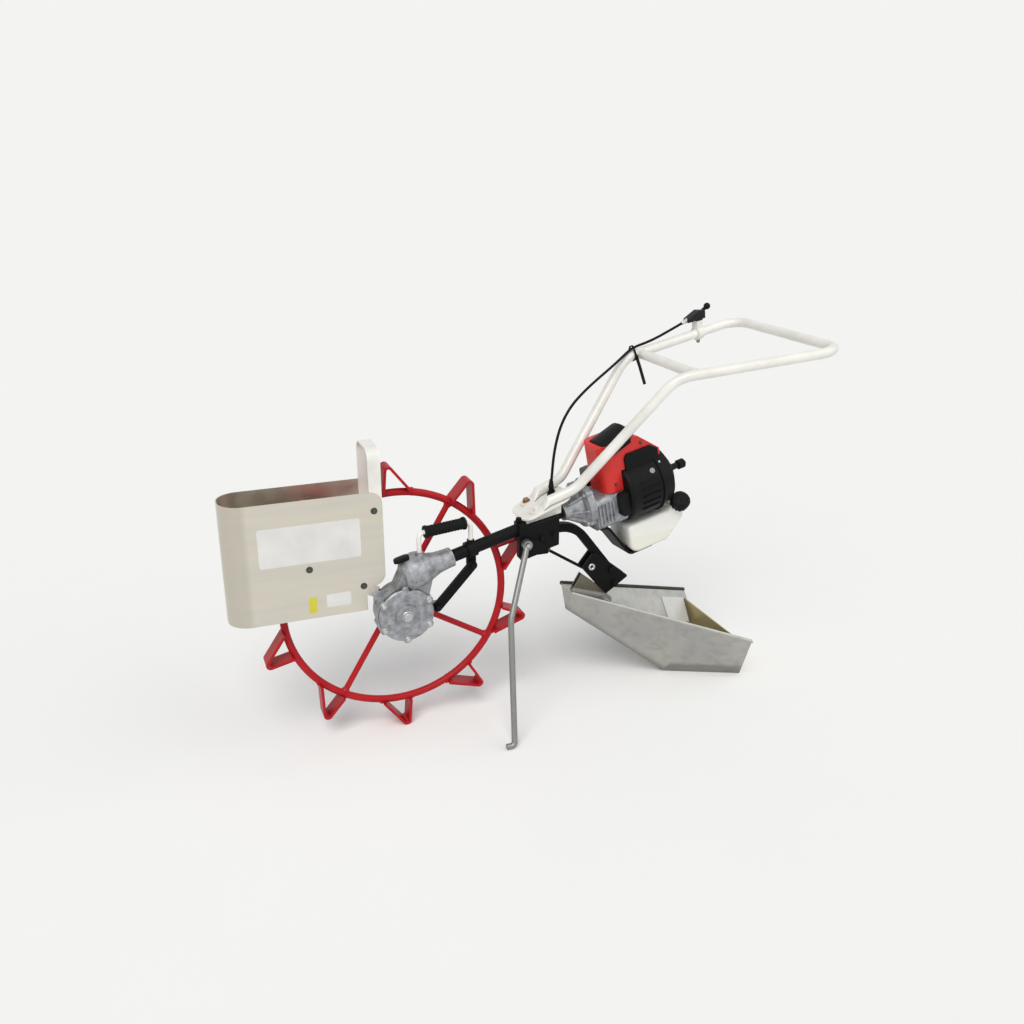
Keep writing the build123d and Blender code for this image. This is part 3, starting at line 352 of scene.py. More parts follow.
@dataclass(frozen=True)
class GuardSheet(BrushedSheet):
    """Sheet of the mud guard, with painted shade round its bent nose."""

    # Painted shade: the darker colour that the nose in front of the bend is mixed towards.
    smear_and_shade: Colour = (0.50, 0.465, 0.385)
    nose_x: float = -0.598
    blur: float = 0.006

    def clouds(self, graph: ShaderGraph) -> Signal:
        """The sheet's colour with level clouds in it, and painted shade in front of the bend.

        Args:
            graph: The material's nodes.

        Returns:
            The colour.
        """
        drift = graph.noise(1.0, 3.0, (3.0, 3.0, 40.0))
        nose_shade = 1.0 - graph.between(graph.axis("X"), self.nose_x - self.blur, self.nose_x + self.blur)
        # Painted shade: in front of the bend the sheet is mixed towards a darker colour.
        return graph.mix(self.tone(graph, drift), self.smear_and_shade, 0.55 * nose_shade)


@dataclass(frozen=True)
class PloughSheet(BrushedSheet):
    """Sheet of the plough, dulled by earth, with painted shade along its keel and sole, and darker on its gussets.
    """

    # Painted shade: the colour of the band along the keel and the sole.
    keel_shade_colour: Colour = (0.24, 0.235, 0.215)
    gusset: Colour = (0.125, 0.11, 0.07)
    deck_x: float = 0.1069
    deck_z: float = 0.2619
    deck_slope: float = -0.3346
    keel_x: float = 0.3709
    keel_slope: float = 0.7911
    keel_edge: float = 0.011
    sole_edge: float = 0.031
    blur: float = 0.004

    def keel_shade_band(self, graph: ShaderGraph) -> Signal:
        """1 in a ragged band above the keel and the sole, where painted shade goes.

        Args:
            graph: The material's nodes.

        Returns:
            The mask.
        """
        along = graph.axis("X")
        ramp = ((self.keel_x - along) * self.keel_slope).above(0.0)
        behind = graph.between(along, self.keel_x - self.blur, self.keel_x + self.blur)
        ragged = 0.008 * graph.noise(60.0, 3.0)
        height = graph.axis("Z") - ramp - (self.sole_edge - self.keel_edge) * behind + ragged
        return 1.0 - graph.between(height, self.keel_edge - self.blur, self.keel_edge + 2 * self.blur)

    def stands(self, graph: ShaderGraph) -> Signal:
        """1 on the gussets, which stand above the sloping deck."""
        crest = graph.axis("Z") - self.deck_z - (graph.axis("X") - self.deck_x) * self.deck_slope
        return graph.between(crest, self.blur, 2 * self.blur)

    def sockets(self, graph: ShaderGraph) -> Sockets:
        """Smeared metal, with painted shade in bands along its keel and sole, and its gussets.

        Args:
            graph: The material's nodes.

        Returns:
            The shader's sockets by name.
        """
        streak = self.streak(graph)
        smear = graph.between(graph.noise(34.0, 4.0), 0.45, 0.75)
        tone = self.tone(graph, graph.noise(9.0, 4.0))
        smear_and_shade = graph.mix(tone, shade(self.colour, 0.72), 0.5 * smear)
        # Painted shade: the band along the keel and the sole turns darker.
        keel_shaded = graph.mix(smear_and_shade, self.keel_shade_colour, 0.8 * self.keel_shade_band(graph))
        return dict(
            Base_Color=graph.mix(keel_shaded, self.gusset, 0.85 * self.stands(graph)), Metallic=0.9,
            Roughness=self.roughness + 0.12 * streak + 0.14 * smear, Normal=graph.bump(streak, 0.08, 0.0005))


@dataclass(frozen=True)
class Casting(Finish):
    """Bare sand-cast metal: grainy, mottled, paler where it is rubbed."""

    grain: float = 340.0

    def sockets(self, graph: ShaderGraph) -> Sockets:
        """Mottled metal with oil stains and a coarse grain.

        Args:
            graph: The material's nodes.

        Returns:
            The shader's sockets by name.
        """
        grain = graph.noise(self.grain, 4.0)
        mottle = graph.noise(70.0, 5.0)
        stain = graph.between(graph.noise(28.0, 4.0), 0.5, 0.72)
        tone = self.shades(graph, 0.55, 1.25, graph.between(mottle, 0.3, 0.7))
        return dict(
            Base_Color=graph.mix(tone, shade(self.colour, 0.42), 0.4 * stain), Metallic=0.75,
            Roughness=0.44 + 0.22 * mottle, Normal=graph.bump(0.6 * grain + 0.4 * mottle, 0.45, 0.0014))


@dataclass(frozen=True)
class Plating(Finish):
    """Zinc-plated or heat-darkened steel with a faint spangle."""

    roughness: float = 0.3

    def sockets(self, graph: ShaderGraph) -> Sockets:
        """Spangled and clouded plating.

        Args:
            graph: The material's nodes.

        Returns:
            The shader's sockets by name.
        """
        spangle = graph.node("ShaderNodeTexVoronoi", inputs={"Vector": graph.place(), "Scale": 190.0},
                             out="Color")
        grey = graph.node("ShaderNodeRGBToBW", inputs={"Color": spangle})
        cloud = graph.noise(30.0)
        return dict(
            Base_Color=self.shades(graph, 0.8, 1.12, 0.35 * grey + 0.65 * cloud), Metallic=0.92,
            Roughness=self.roughness + 0.14 * cloud, Normal=graph.bump(graph.noise(500.0, 2.0), 0.08, 0.0004))


@dataclass(frozen=True)
class Moulding(Finish):
    """Moulded plastic or rubber with a fine spark grain."""

    roughness: float = 0.45
    grain: float = 0.15
    coat: float = 0.0
    gloss: float = 0.2

    def tone(self, graph: ShaderGraph) -> Signal:
        """The moulding's colour with soft clouds in it."""
        return self.shades(graph, 0.8, 1.15, graph.noise(18.0))

    def sockets(self, graph: ShaderGraph) -> Sockets:
        """Clouded plastic under a fine grain.

        Args:
            graph: The material's nodes.

        Returns:
            The shader's sockets by name.
        """
        return dict(
            Base_Color=self.tone(graph), Roughness=self.roughness + 0.14 * graph.noise(30.0),
            Specular_IOR_Level=self.gloss, Coat_Weight=self.coat, Coat_Roughness=0.15,
            Normal=graph.bump(graph.noise(1300.0, 2.0), self.grain, 0.0004))


@dataclass(frozen=True)
class TwoTone(Moulding):
    """A moulding in two colours that part at a plane."""

    second: Colour = (0.66, 0.028, 0.022)
    across: Place = (1.0, 0.0, 0.0)
    start: float = 0.0
    blur: float = 0.0003

    def tone(self, graph: ShaderGraph) -> Signal:
        """The first colour before the plane and the second behind it.

        Args:
            graph: The material's nodes.

        Returns:
            The colour.
        """
        reach = 0.0
        for letter, share in zip("XYZ", self.across):
            reach = reach + share * graph.axis(letter)
        behind = graph.between(reach, self.start - self.blur, self.start + self.blur)
        return graph.mix(super().tone(graph), self.second, behind)


@dataclass(frozen=True)
class MilkyTank(Finish):
    """Translucent blown polyethylene with a faint fuel level."""

    fuel: Colour
    level: float
    blur: float = 0.003

    def sockets(self, graph: ShaderGraph) -> Sockets:
        """Milky wall, tinted up to the fuel's level.

        Args:
            graph: The material's nodes.

        Returns:
            The shader's sockets by name.
        """
        wet = 1.0 - graph.between(graph.axis("Z"), self.level - self.blur, self.level + self.blur)
        return dict(
            Base_Color=graph.mix(self.colour, self.fuel, 0.28 * wet),
            Roughness=0.3 + 0.14 * graph.noise(24.0), Subsurface_Weight=0.25,
            Subsurface_Radius=(0.012, 0.012, 0.011), Normal=graph.bump(graph.noise(160.0, 2.0), 0.12, 0.0008))


class Finishes:
    """Every finish of the machine, made once and given to pieces by name."""

    RED = Paint("red_paint", (0.42, 0.008, 0.013), roughness=0.34, coat=0.06, gloss=0.18)
    WHITE = Paint("white_paint", (0.82, 0.81, 0.755), roughness=0.26, dusting=0.12)
    BLACK = Paint("black_paint", (0.006, 0.006, 0.0065), roughness=0.4, coat=0.0, gloss=0.09, dusting=0.03)
    STAINLESS = BrushedSheet("stainless", (0.64, 0.615, 0.55), (0.70, 0.655, 0.555))
    GUARD = GuardSheet("guard_sheet", (0.64, 0.615, 0.55), (0.70, 0.655, 0.555))
    HULL = PloughSheet("plough_sheet", (0.40, 0.40, 0.39), (0.47, 0.46, 0.42), roughness=0.36)
    TRANSOM = BrushedSheet("transom_plate", (0.52, 0.45, 0.28), (0.60, 0.50, 0.27), Brushing.UPRIGHT, 0.34)
    CAST = Casting("cast_aluminium", (0.36, 0.37, 0.39))
    ZINC = Plating("zinc", (0.52, 0.53, 0.53))
    DULL_ZINC = Plating("dull_zinc", (0.28, 0.28, 0.268), roughness=0.38)
    RUST = Plating("rusted_zinc", (0.34, 0.20, 0.11), roughness=0.5)
    DARK_STEEL = Plating("dark_steel", (0.10, 0.095, 0.09), roughness=0.45)
    PLASTIC = Moulding("black_plastic", (0.006, 0.0065, 0.0065), roughness=0.36, gloss=0.11)
    ORANGE = Moulding("orange_plastic", (0.66, 0.028, 0.022), roughness=0.3, grain=0.06, coat=0.12, gloss=0.3)
    LEVER_BODY = TwoTone("lever_plastic", (0.78, 0.77, 0.73), roughness=0.34, second=(0.006, 0.0065, 0.0065),
                         across=(-0.13875, -0.03578, 0.98969), start=0.7415)
    RUBBER = Moulding("rubber", (0.007, 0.0075, 0.0075), roughness=0.56, grain=0.3, gloss=0.1)
    # Painted shade: a dark strip laid along the plough's far hem, where the rim is in shade.
    HEM_SHADE = Moulding("painted_hem_shade", (0.045, 0.045, 0.038), roughness=0.5, grain=0.3)
    TANK = MilkyTank("tank_plastic", (0.80, 0.80, 0.75), (0.72, 0.66, 0.52), 0.385)
    LABEL = Moulding("label_vinyl", (0.72, 0.715, 0.69), roughness=0.34, grain=0.05, coat=0.1)
    YELLOW_LABEL = Moulding("yellow_vinyl", (0.62, 0.58, 0.06), roughness=0.34, grain=0.05, coat=0.1)

    def __init__(self) -> None:
        """Nothing is made before it is asked for."""
        self._made: dict[str, Material] = {}

    def get(self, finish: Finish) -> Material:
        """The material of a finish, made on first use.

        Args:
            finish: The finish.

        Returns:
            Its material.
        """
        if finish.name not in self._made:
            self._made[finish.name] = finish.material()
        return self._made[finish.name]

    def by_slot(self, slot: str) -> Material:
        """The material of one of the record's slots."""
        named = {finish.name: finish for finish in vars(Finishes).values() if isinstance(finish, Finish)}
        return self.get(named[slot])


class Bench:
    """Modelling moves with Blender's own operators."""

    @staticmethod
    def clear() -> None:
        """Object mode with nothing selected."""
        if bpy.context.mode != "OBJECT":
            bpy.ops.object.mode_set(mode="OBJECT")
        bpy.ops.object.select_all(action="DESELECT")

    @staticmethod
    def only(piece: Piece) -> None:
        """Makes one piece the selected and active one.

        Args:
            piece: The piece.
        """
        Bench.clear()
        piece.select_set(True)
        bpy.context.view_layer.objects.active = piece

    @staticmethod
    @contextmanager
    def edit(piece: Piece, kind: str = "VERT", whole: bool = True) -> Iterator[None]:
        """Edit mode on one piece, for the moves in a with block.

        Args:
            piece: The piece.
            kind: What the selection counts in: VERT or FACE.
            whole: Whether all of the piece is selected, or what was selected before.

        Returns:
            The block's manager, which ends in object mode.
        """
        Bench.only(piece)
        bpy.ops.object.mode_set(mode="EDIT")
        bpy.ops.mesh.select_mode(type=kind)
        if whole:
            bpy.ops.mesh.select_all(action="SELECT")
        yield
        bpy.ops.object.mode_set(mode="OBJECT")

    @staticmethod
    def pick(piece: Piece, towards: Vector) -> Vector:
        """Selects only the face that lies furthest in a direction.

        Args:
            piece: The piece.
            towards: The direction.

        Returns:
            The face's middle.
        """
        with Bench.edit(piece, "FACE"):
            bpy.ops.mesh.select_all(action="DESELECT")
        face = max(piece.data.polygons, key=lambda polygon: polygon.center.dot(towards))
        face.select = True
        return face.center.copy()

    @staticmethod
    def modify(piece: Piece, kind: str, **settings: float | str) -> None:
        """Adds a modifier with its settings and applies it.

        Args:
            piece: The piece.
            kind: The modifier's type.
            settings: Its attributes by name.
        """
        Bench.only(piece)
        made = piece.modifiers.new(kind.lower(), kind)
        for key, value in settings.items():
            setattr(made, key, value)
        bpy.ops.object.modifier_apply(modifier=made.name)

    @staticmethod
    def chain(name: str, points: Sequence[Vector]) -> Piece:
        """A line of edges, drawn by extruding one vertex from point to point.

        Args:
            name: The piece's name.
            points: The line's points in metres.

        Returns:
            The piece, without faces.
        """
        Bench.clear()
        bpy.ops.mesh.primitive_plane_add(size=1.0)
        piece = bpy.context.object
        piece.name = name
        with Bench.edit(piece):
            bpy.ops.mesh.merge(type="CENTER")
            bpy.ops.transform.translate(value=points[0])
            for before, after in zip(points, points[1:]):
                bpy.ops.mesh.extrude_region_move(TRANSFORM_OT_translate={"value": after - before})
        return piece

    @staticmethod
    def tidy(piece: Piece, angle: float = 35.0) -> Piece:
        """Merges doubles, turns the faces outwards and smooths the soft edges.

        Args:
            piece: The piece.
            angle: Edges sharper than this stay sharp, in degrees.

        Returns:
            The piece.
        """
        with Bench.edit(piece):
            bpy.ops.mesh.remove_doubles(threshold=TINY)
            bpy.ops.mesh.normals_make_consistent(inside=False)
        bpy.ops.object.shade_smooth_by_angle(angle=math.radians(angle))
        return piece

    @staticmethod
    def bevel(piece: Piece, width: float, segments: int = 2, angle: float = 30.0) -> Piece:
        """Softens a piece's sharp edges.

        Args:
            piece: The piece.
            width: Width of the soft edge in millimetres.
            segments: Steps across the soft edge.
            angle: Edges sharper than this are softened, in degrees.

        Returns:
            The piece.
        """
        Bench.modify(piece, "BEVEL", width=width * MM, segments=segments, limit_method="ANGLE",
                     angle_limit=math.radians(angle))
        bpy.ops.object.shade_smooth_by_angle(angle=math.radians(angle + 10.0))
        return piece

    @staticmethod
    def turned(name: str, profile: Profile, steps: int = 24) -> Piece:
        """A turned piece on the Z axis.

        Args:
            name: The piece's name.
            profile: Radius and height pairs in millimetres, from bottom to top.
            steps: Facets round the axis.

        Returns:
            The piece, in metres, at the origin.
        """
        piece = Bench.chain(name, [Vector((radius, 0.0, height)) * MM for radius, height in profile])
        with Bench.edit(piece):
            bpy.ops.mesh.spin(steps=steps, angle=2 * math.pi, center=(0, 0, 0), axis=(0, 0, 1))
        return Bench.tidy(piece)

    @staticmethod
    def slab(name: str, corners: Sequence[Vector], lift: Vector, bevel: float = 0.0) -> Piece:
        """A flat slab over a ring of corners.

        Args:
            name: The piece's name.
            corners: Corners in metres, in order.
            lift: The move that thickens it, in metres.
            bevel: Width of the softened edges in millimetres, or 0.

        Returns:
            The piece.
        """
        piece = Bench.chain(name, [*corners, corners[0]])
        with Bench.edit(piece):
            bpy.ops.mesh.remove_doubles(threshold=TINY)
            bpy.ops.mesh.select_all(action="SELECT")
            bpy.ops.mesh.edge_face_add()
            bpy.ops.mesh.extrude_region_move(TRANSFORM_OT_translate={"value": lift})
        Bench.tidy(piece)
        return Bench.bevel(piece, bevel) if bevel else piece

    @staticmethod
    def block(name: str, half_x: float, half_y: float, height: float, bevel: float = 0.0) -> Piece:
        """A block that stands on the XY plane, with all sizes in millimetres."""
        ring = ((-half_x, -half_y), (half_x, -half_y), (half_x, half_y), (-half_x, half_y))
        return Bench.slab(name, flat(ring), UP * height * MM, bevel)

    @staticmethod
    def strip(name: str, points: Sequence[Vector], across: Vector, sheet: float) -> Piece:
        """A bent strip of sheet.

        Args:
            name: The piece's name.
            points: The points of one edge, in metres.
            across: The move to the other edge, in metres.
            sheet: Thickness in millimetres.

        Returns:
            The piece.
        """
        piece = Bench.chain(name, points)
        with Bench.edit(piece):
            bpy.ops.mesh.extrude_region_move(TRANSFORM_OT_translate={"value": across})
        Bench.modify(Bench.tidy(piece), "SOLIDIFY", thickness=sheet * MM, offset=0.0)
        return Bench.bevel(piece, sheet * 0.25)

    @staticmethod
    def rod(name: str, points: Sequence[Vector], radius: float, round_sides: int = 4) -> Piece:
        """A round bar with soft ends.

        Args:
            name: The piece's name.
            points: The points of its axis, in metres.
            radius: Radius in millimetres.
            round_sides: Facets in each quarter of its section.

        Returns:
            The piece.
        """
        Bench.only(Bench.chain(name, points))
        bpy.ops.object.convert(target="CURVE")
        data = bpy.context.object.data
        data.dimensions = "3D"
        data.bevel_depth = radius * MM
        data.bevel_resolution = round_sides
        data.use_fill_caps = True
        bpy.ops.object.convert(target="MESH")
        return Bench.bevel(Bench.tidy(bpy.context.object, 50.0), radius * 0.3, angle=60.0)

    @staticmethod
    def seat(piece: Piece, matrix: Matrix) -> Piece:
        """Puts a piece in its place and leaves its object at the origin.

        Args:
            piece: The piece.
            matrix: Its place.

        Returns:
            The piece.
        """
        Bench.only(piece)
        piece.matrix_world = matrix
        bpy.ops.object.transform_apply(location=True, rotation=True, scale=True)
        return piece

    @staticmethod
    def join(name: str, pieces: Sequence[Piece]) -> Piece:
        """Several pieces as one mesh.

        Args:
            name: The name of the whole.
            pieces: The pieces, of which the first takes in the others.

        Returns:
            The whole.
        """
        Bench.only(pieces[0])
        for piece in pieces:
            piece.select_set(True)
        if len(pieces) > 1:
            bpy.ops.object.join()
        joined = bpy.context.view_layer.objects.active
        joined.name = name
        joined.data.name = name
        return joined

    @staticmethod
    def copies(name: str, model: Piece, seats: Iterable[Matrix]) -> Piece:
        """A piece made once and copied to its seats, each copy with its own mesh, joined as one.

        Args:
            name: The name of the whole.
            model: The piece at the origin, which is used up.
            seats: Where the copies go.

        Returns:
            The whole.
        """
        made = []
        for matrix in seats:
            twin = model.copy()
            twin.data = model.data.copy()
            bpy.context.collection.objects.link(twin)
            made.append(Bench.seat(twin, matrix))
        bpy.data.objects.remove(model)
        return Bench.join(name, made)


@dataclass(frozen=True)
class HexBolt:
    """Hexagon bolt head on a flat washer, in millimetres."""

    across: float = 13.0
    head: float = 5.3
    washer: float = 16.0
    washer_sheet: float = 1.6

    def model(self, name: str) -> Piece:
        """One bolt that stands on the XY plane.

        Args:
            name: The bolt's name.

        Returns:
            The bolt, in metres, at the origin.
        """
        rim, sheet = self.washer / 2, self.washer_sheet
        washer = Bench.turned(name + "_washer", [
            (0.0, 0.0), (rim, 0.0), (rim, sheet * 0.7), (rim - 0.5, sheet), (0.0, sheet)])
        Bench.clear()
        bpy.ops.mesh.primitive_cylinder_add(
            vertices=6, radius=self.across / math.sqrt(3.0) * MM, depth=self.head * MM,
            location=(0.0, 0.0, (sheet + self.head / 2) * MM))
        head = bpy.context.object
        bpy.ops.object.transform_apply(location=True, rotation=True, scale=True)
        Bench.pick(head, UP)
        with Bench.edit(head, "FACE", whole=False):
            bpy.ops.mesh.inset(thickness=self.across * 0.09 * MM, depth=0.0)
            bpy.ops.transform.translate(value=(0.0, 0.0, self.head * 0.14 * MM))
            bpy.ops.mesh.inset(thickness=self.across * 0.2 * MM, depth=-self.head * 0.06 * MM)
        Bench.bevel(head, 0.4)
        return Bench.join(name, [washer, head])


@dataclass
class SubAssembly:
    """A group of fittings that share finishes and a body."""

    finishes: Finishes
    body: Body = Body.FRAME
    pieces: list[Piece] = field(default_factory=list)

    def keep(self, piece: Piece, finish: Finish, slot: str = "") -> Piece:
        """Dresses a piece and lets it ride on the group's body.

        Args:
            piece: The finished piece.
            finish: Its finish.
            slot: Not used; meant for the record's material slot, if not the one that the finish is named for.

        Returns:
            The piece.
        """
        piece.data.materials.clear()
        piece.data.materials.append(self.finishes.get(finish))
        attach(piece, self.body.value)
        self.pieces.append(piece)
        return piece

    def turn(self, name: str, profile: Profile, steps: int, seats: Iterable[Matrix], finish: Finish,
             slot: str = "") -> None:
        """Keeps a turned piece at each of its seats, all as one mesh."""
        self.keep(Bench.copies(name, Bench.turned(name, profile, steps), seats), finish, slot)

    def bolt(self, name: str, bolt: HexBolt, seats: Iterable[Matrix], finish: Finish, slot: str = "") -> None:
        """Keeps a bolt at each of its seats, all as one mesh."""
        self.keep(Bench.copies(name, bolt.model(name), seats), finish, slot)


@dataclass
class DriveWheel(SubAssembly):
    """Welds of the lugged wheel."""

    body: Body = Body.WHEEL
    rim_radius: float = 240.0
    rim_bar: float = 16.0
    lug_count: int = 10
    lug_turn: float = 91.8
    lug_feet: tuple[float, float] = (3.9, -11.9)
    bead_stretch: Place = (1.25, 2.0, 1.0)
    spoke_count: int = 4
    spoke_turn: float = 58.8
    spoke_bar: float = 13.0
    hub_radius: float = 26.0

    def rim_seat(self, angle: float, radius: float, across: float = 0.0) -> Matrix:
        """A seat on the wheel that looks outwards.

        Args:
            angle: Its place round the wheel in degrees.
            radius: Its distance from the axle in millimetres.
            across: Its distance right of the wheel's middle in millimetres.

        Returns:
            The seat.
        """
        turn = math.radians(angle)
        outward = Vector((math.cos(turn), 0.0, math.sin(turn)))
        return pose(AXLE + outward * radius * MM - LEFT * across * MM, outward, -LEFT)

    def build(self) -> None:
        """Beads at the lugs' feet, and fillets at both ends of the spokes."""
        bead = Bench.turned("lug_bead", [(0.0, -3.2), (3.4, -2.4), (4.6, 0.0), (3.4, 2.4), (0.0, 3.2)], 12)
        Bench.seat(bead, Matrix.Diagonal((*self.bead_stretch, 1.0)))
        seats = []
        for lug in range(self.lug_count):
            middle = self.lug_turn + lug * 360.0 / self.lug_count
            for foot in self.lug_feet:
                seats.append(self.rim_seat(middle + foot, self.rim_radius + self.rim_bar / 2 - 1.5))
        self.keep(Bench.copies("lug_welds", bead, seats), Finishes.RED)
        bar = self.spoke_bar / 2
        fillet = [(bar - 0.5, 7.0), (bar + 0.6, 5.5), (bar + 2.2, 2.0), (bar + 3.2, 0.0), (bar - 0.5, 0.0)]
        seats = []
        for spoke in range(self.spoke_count):
            angle = self.spoke_turn + spoke * 360.0 / self.spoke_count
            seats.append(self.rim_seat(angle, self.hub_radius - 0.6, 1.0))
            rim = self.rim_seat(angle, self.rim_radius - self.rim_bar / 2 + 1.0, 1.0)
            seats.append(rim @ Matrix.Rotation(math.pi, 4, "X"))
        self.turn("spoke_welds", fillet, 20, seats, Finishes.RED)


@dataclass
class GearCase(SubAssembly):
    """Cover bolts, drain plug and joint line of the gear case, and the strut's bolts."""

    cover_face: float = -91.0
    boss_face: float = -95.5
    joint_face: float = -82.0
    strut_face: float = -68.0
    case_radius: float = 58.0
    lobe_circle: float = 55.0
    lobe_angles: tuple[float, ...] = (30.0, 150.0, 210.0, 270.0, 330.0)
    strut_bolts: Profile = ((73.0, -4.0), (152.0, 80.0))

    def build(self) -> None:
        """Bolts round the cover, the plug in its middle, the gasket's edge and the strut's bolts."""
        turns = [math.radians(angle) for angle in self.lobe_angles]
        lobes = [(self.lobe_circle * math.cos(turn), self.lobe_circle * math.sin(turn)) for turn in turns]
        middle = [(0.0, 0.0)]
        self.bolt("cover_bolts", HexBolt(across=8.0, head=4.2, washer=12.0, washer_sheet=1.2),
                  on_left(lobes, self.cover_face + SINK), Finishes.ZINC)
        self.bolt("drain_plug", HexBolt(across=17.0, head=5.0, washer=24.0),
                  on_left(middle, self.boss_face + SINK), Finishes.ZINC)
        inner, outer = self.case_radius - 2.0, self.case_radius + 0.5
        gasket = [(inner, -0.8), (outer, -0.8), (outer, 0.8), (inner, 0.8), (inner, -0.8)]
        self.turn("case_gasket", gasket, 96, on_left(middle, self.joint_face), Finishes.RUBBER)
        self.bolt("strut_bolts", HexBolt(across=12.0, head=5.5, washer=17.0),
                  on_left(self.strut_bolts, self.strut_face + SINK), Finishes.BLACK)


@dataclass
class WheelGuard(SubAssembly):
    """Bolts and blank labels of the mud guard."""

    side: float = 51.0
    bolts: Profile = ((-49.7, 222.8), (-186.2, 115.3), (-78.3, 63.0))
    vinyl: float = 0.3
    vinyl_gap: float = 0.02
    corner_share: float = 0.06

    def label(self, name: str, low: tuple[float, float], high: tuple[float, float], finish: Finish) -> None:
        """A blank label with rounded corners on the guard's left side.

        Args:
            name: The piece's name.
            low: Its lower front corner as x and z in millimetres.
            high: Its upper rear corner.
            finish: Its finish.
        """
        width = high[0] - low[0]
        height = high[1] - low[1]
        corner = min(width, height) * self.corner_share
        outline = []
        for across, up, start in ((width - corner, corner, -90), (width - corner, height - corner, 0),
                                  (corner, height - corner, 90), (corner, corner, 180)):
            for step in range(5):
                turn = math.radians(start + step * 22.5)
                outline.append((across + corner * math.cos(turn), up + corner * math.sin(turn)))
        piece = Bench.slab(name, flat(outline), UP * self.vinyl * MM)
        seat = pose(at(low[0], -self.side - self.vinyl_gap, low[1]), LEFT)
        self.keep(Bench.seat(piece, seat), finish, "white_paint")

    def build(self) -> None:
        """Bolts on both sides, and the labels without lettering."""
        self.bolt("guard_bolts", HexBolt(across=8.0, head=3.4, washer=14.0, washer_sheet=1.2),
                  on_both(self.bolts, self.side), Finishes.DARK_STEEL)
        self.label("side_label", (-283.0, 130.0), (-80.0, 212.0), Finishes.LABEL)
        self.label("low_label", (-156.0, 28.0), (-106.0, 56.0), Finishes.LABEL)
        self.label("yellow_label", (-192.0, 20.0), (-176.0, 54.0), Finishes.YELLOW_LABEL)


@dataclass
class CarryHandle(SubAssembly):
    """Ribs and collars of the carrying handle's rubber grip."""

    front: Place = (36.0, -68.72, 169.0)
    rear: Place = (152.0, -54.47, 174.0)
    grip_radius: float = 11.5
    grip_length: float = 92.0
    rib_count: int = 11
    rib_pitch: float = 7.0

    def build(self) -> None:
        """Shallow ribs along the grip and a collar at each end."""
        run = (at(*self.rear) - at(*self.front)).normalized()
        middle = (at(*self.front) + at(*self.rear)) / 2
        low = self.grip_radius - 0.6
        rib = [(low, -2.0), (low + 1.0, -1.5), (low + 1.5, 0.0), (low + 1.0, 1.5), (low, 2.0), (low, -2.0)]
        half = (self.rib_count - 1) / 2
        seats = [pose(middle + run * (step - half) * self.rib_pitch * MM, run)
                 for step in range(self.rib_count)]
        self.turn("grip_ribs", rib, 40, seats, Finishes.RUBBER)
        collar = [(low, -3.0), (low + 2.2, -3.0), (low + 2.8, -2.2), (low + 2.8, 2.2), (low + 2.2, 3.0),
                  (low, 3.0), (low, -3.0)]
        seats = [pose(middle + run * side * (self.grip_length / 2 - 3.0) * MM, run) for side in SIDES]
        self.turn("grip_collars", collar, 40, seats, Finishes.RUBBER)


@dataclass
class FrameFittings(SubAssembly):
    """Bolts of the frame bracket, the stand's pin end and the adjuster rod's nuts."""

    bracket_face: float = -62.0
    bracket_bolts: Profile = ((312.0, 118.0), (340.0, 124.0))
    clamp_bolt: Place = (265.96, -40.5, 156.2)
    pin_end: float = -82.0
    rod_front: Place = (307.96, 0.0, 90.0)
    rod_rear: Place = (455.96, 0.0, -6.0)
    nut_runs: tuple[float, ...] = (41.0, 49.0)

    def build(self) -> None:
        """Black bolts, the pin's rounded end, and two nuts that lock the rod."""
        seats = on_left(self.bracket_bolts, self.bracket_face + SINK)
        seats.append(pose(at(*self.clamp_bolt), UP, LEFT))
        self.bolt("bracket_bolts", HexBolt(across=11.0, head=5.0, washer=15.0), seats, Finishes.BLACK)
        end = [(4.9, -1.0), (4.9, 0.6), (4.2, 1.7), (2.4, 2.4), (0.0, 2.6)]
        seat = pose(Vector((STAND_PIVOT.x, at(0.0, self.pin_end, 0.0).y, STAND_PIVOT.z)), LEFT)
        self.turn("stand_pin_end", end, 24, [seat], Finishes.ZINC)
        front = at(*self.rod_front)
        run = (at(*self.rod_rear) - front).normalized()
        seats = [pose(front + run * place * MM, run) for place in self.nut_runs]
        self.bolt("rod_nuts", HexBolt(across=11.0, head=5.5, washer=14.0, washer_sheet=1.4), seats,
                  Finishes.DARK_STEEL)


@dataclass
class HandleFrame(SubAssembly):
    """Bolts through the handle's flattened ends and the welds of its cross tube."""

    left_tab: Place = (304.1, -46.7, 179.2)
    right_tab: Place = (304.1, 10.7, 179.2)
    tab_out: Place = (-0.357, 0.0, 0.934)
    tube_radius: float = 11.1
    cross_middle: Place = (619.96, -18.0, 466.5)
    cross_half: float = 127.8

    def build(self) -> None:
        """A painted bolt on the left tab, a rusted one on the right, and beads at the cross tube's ends."""
        bolt = HexBolt(across=12.0, head=5.0, washer=18.0)
        for name, place, finish in (("left_tab_bolt", self.left_tab, Finishes.WHITE),
                                    ("right_tab_bolt", self.right_tab, Finishes.RUST)):
            self.bolt(name, bolt, [pose(at(*place), Vector(self.tab_out))], finish, "zinc")
        tube = self.tube_radius
        bead = [(tube - 0.6, 0.0), (tube + 2.2, 0.0), (tube + 1.9, 2.4), (tube + 0.8, 5.0), (tube, 6.8),
                (tube - 0.6, 6.8), (tube - 0.6, 0.0)]
        reach = (self.cross_half - tube * 0.72) * MM
        seats = [pose(at(*self.cross_middle) - LEFT * side * reach, LEFT * side) for side in SIDES]
        self.turn("cross_tube_welds", bead, 40, seats, Finishes.WHITE)


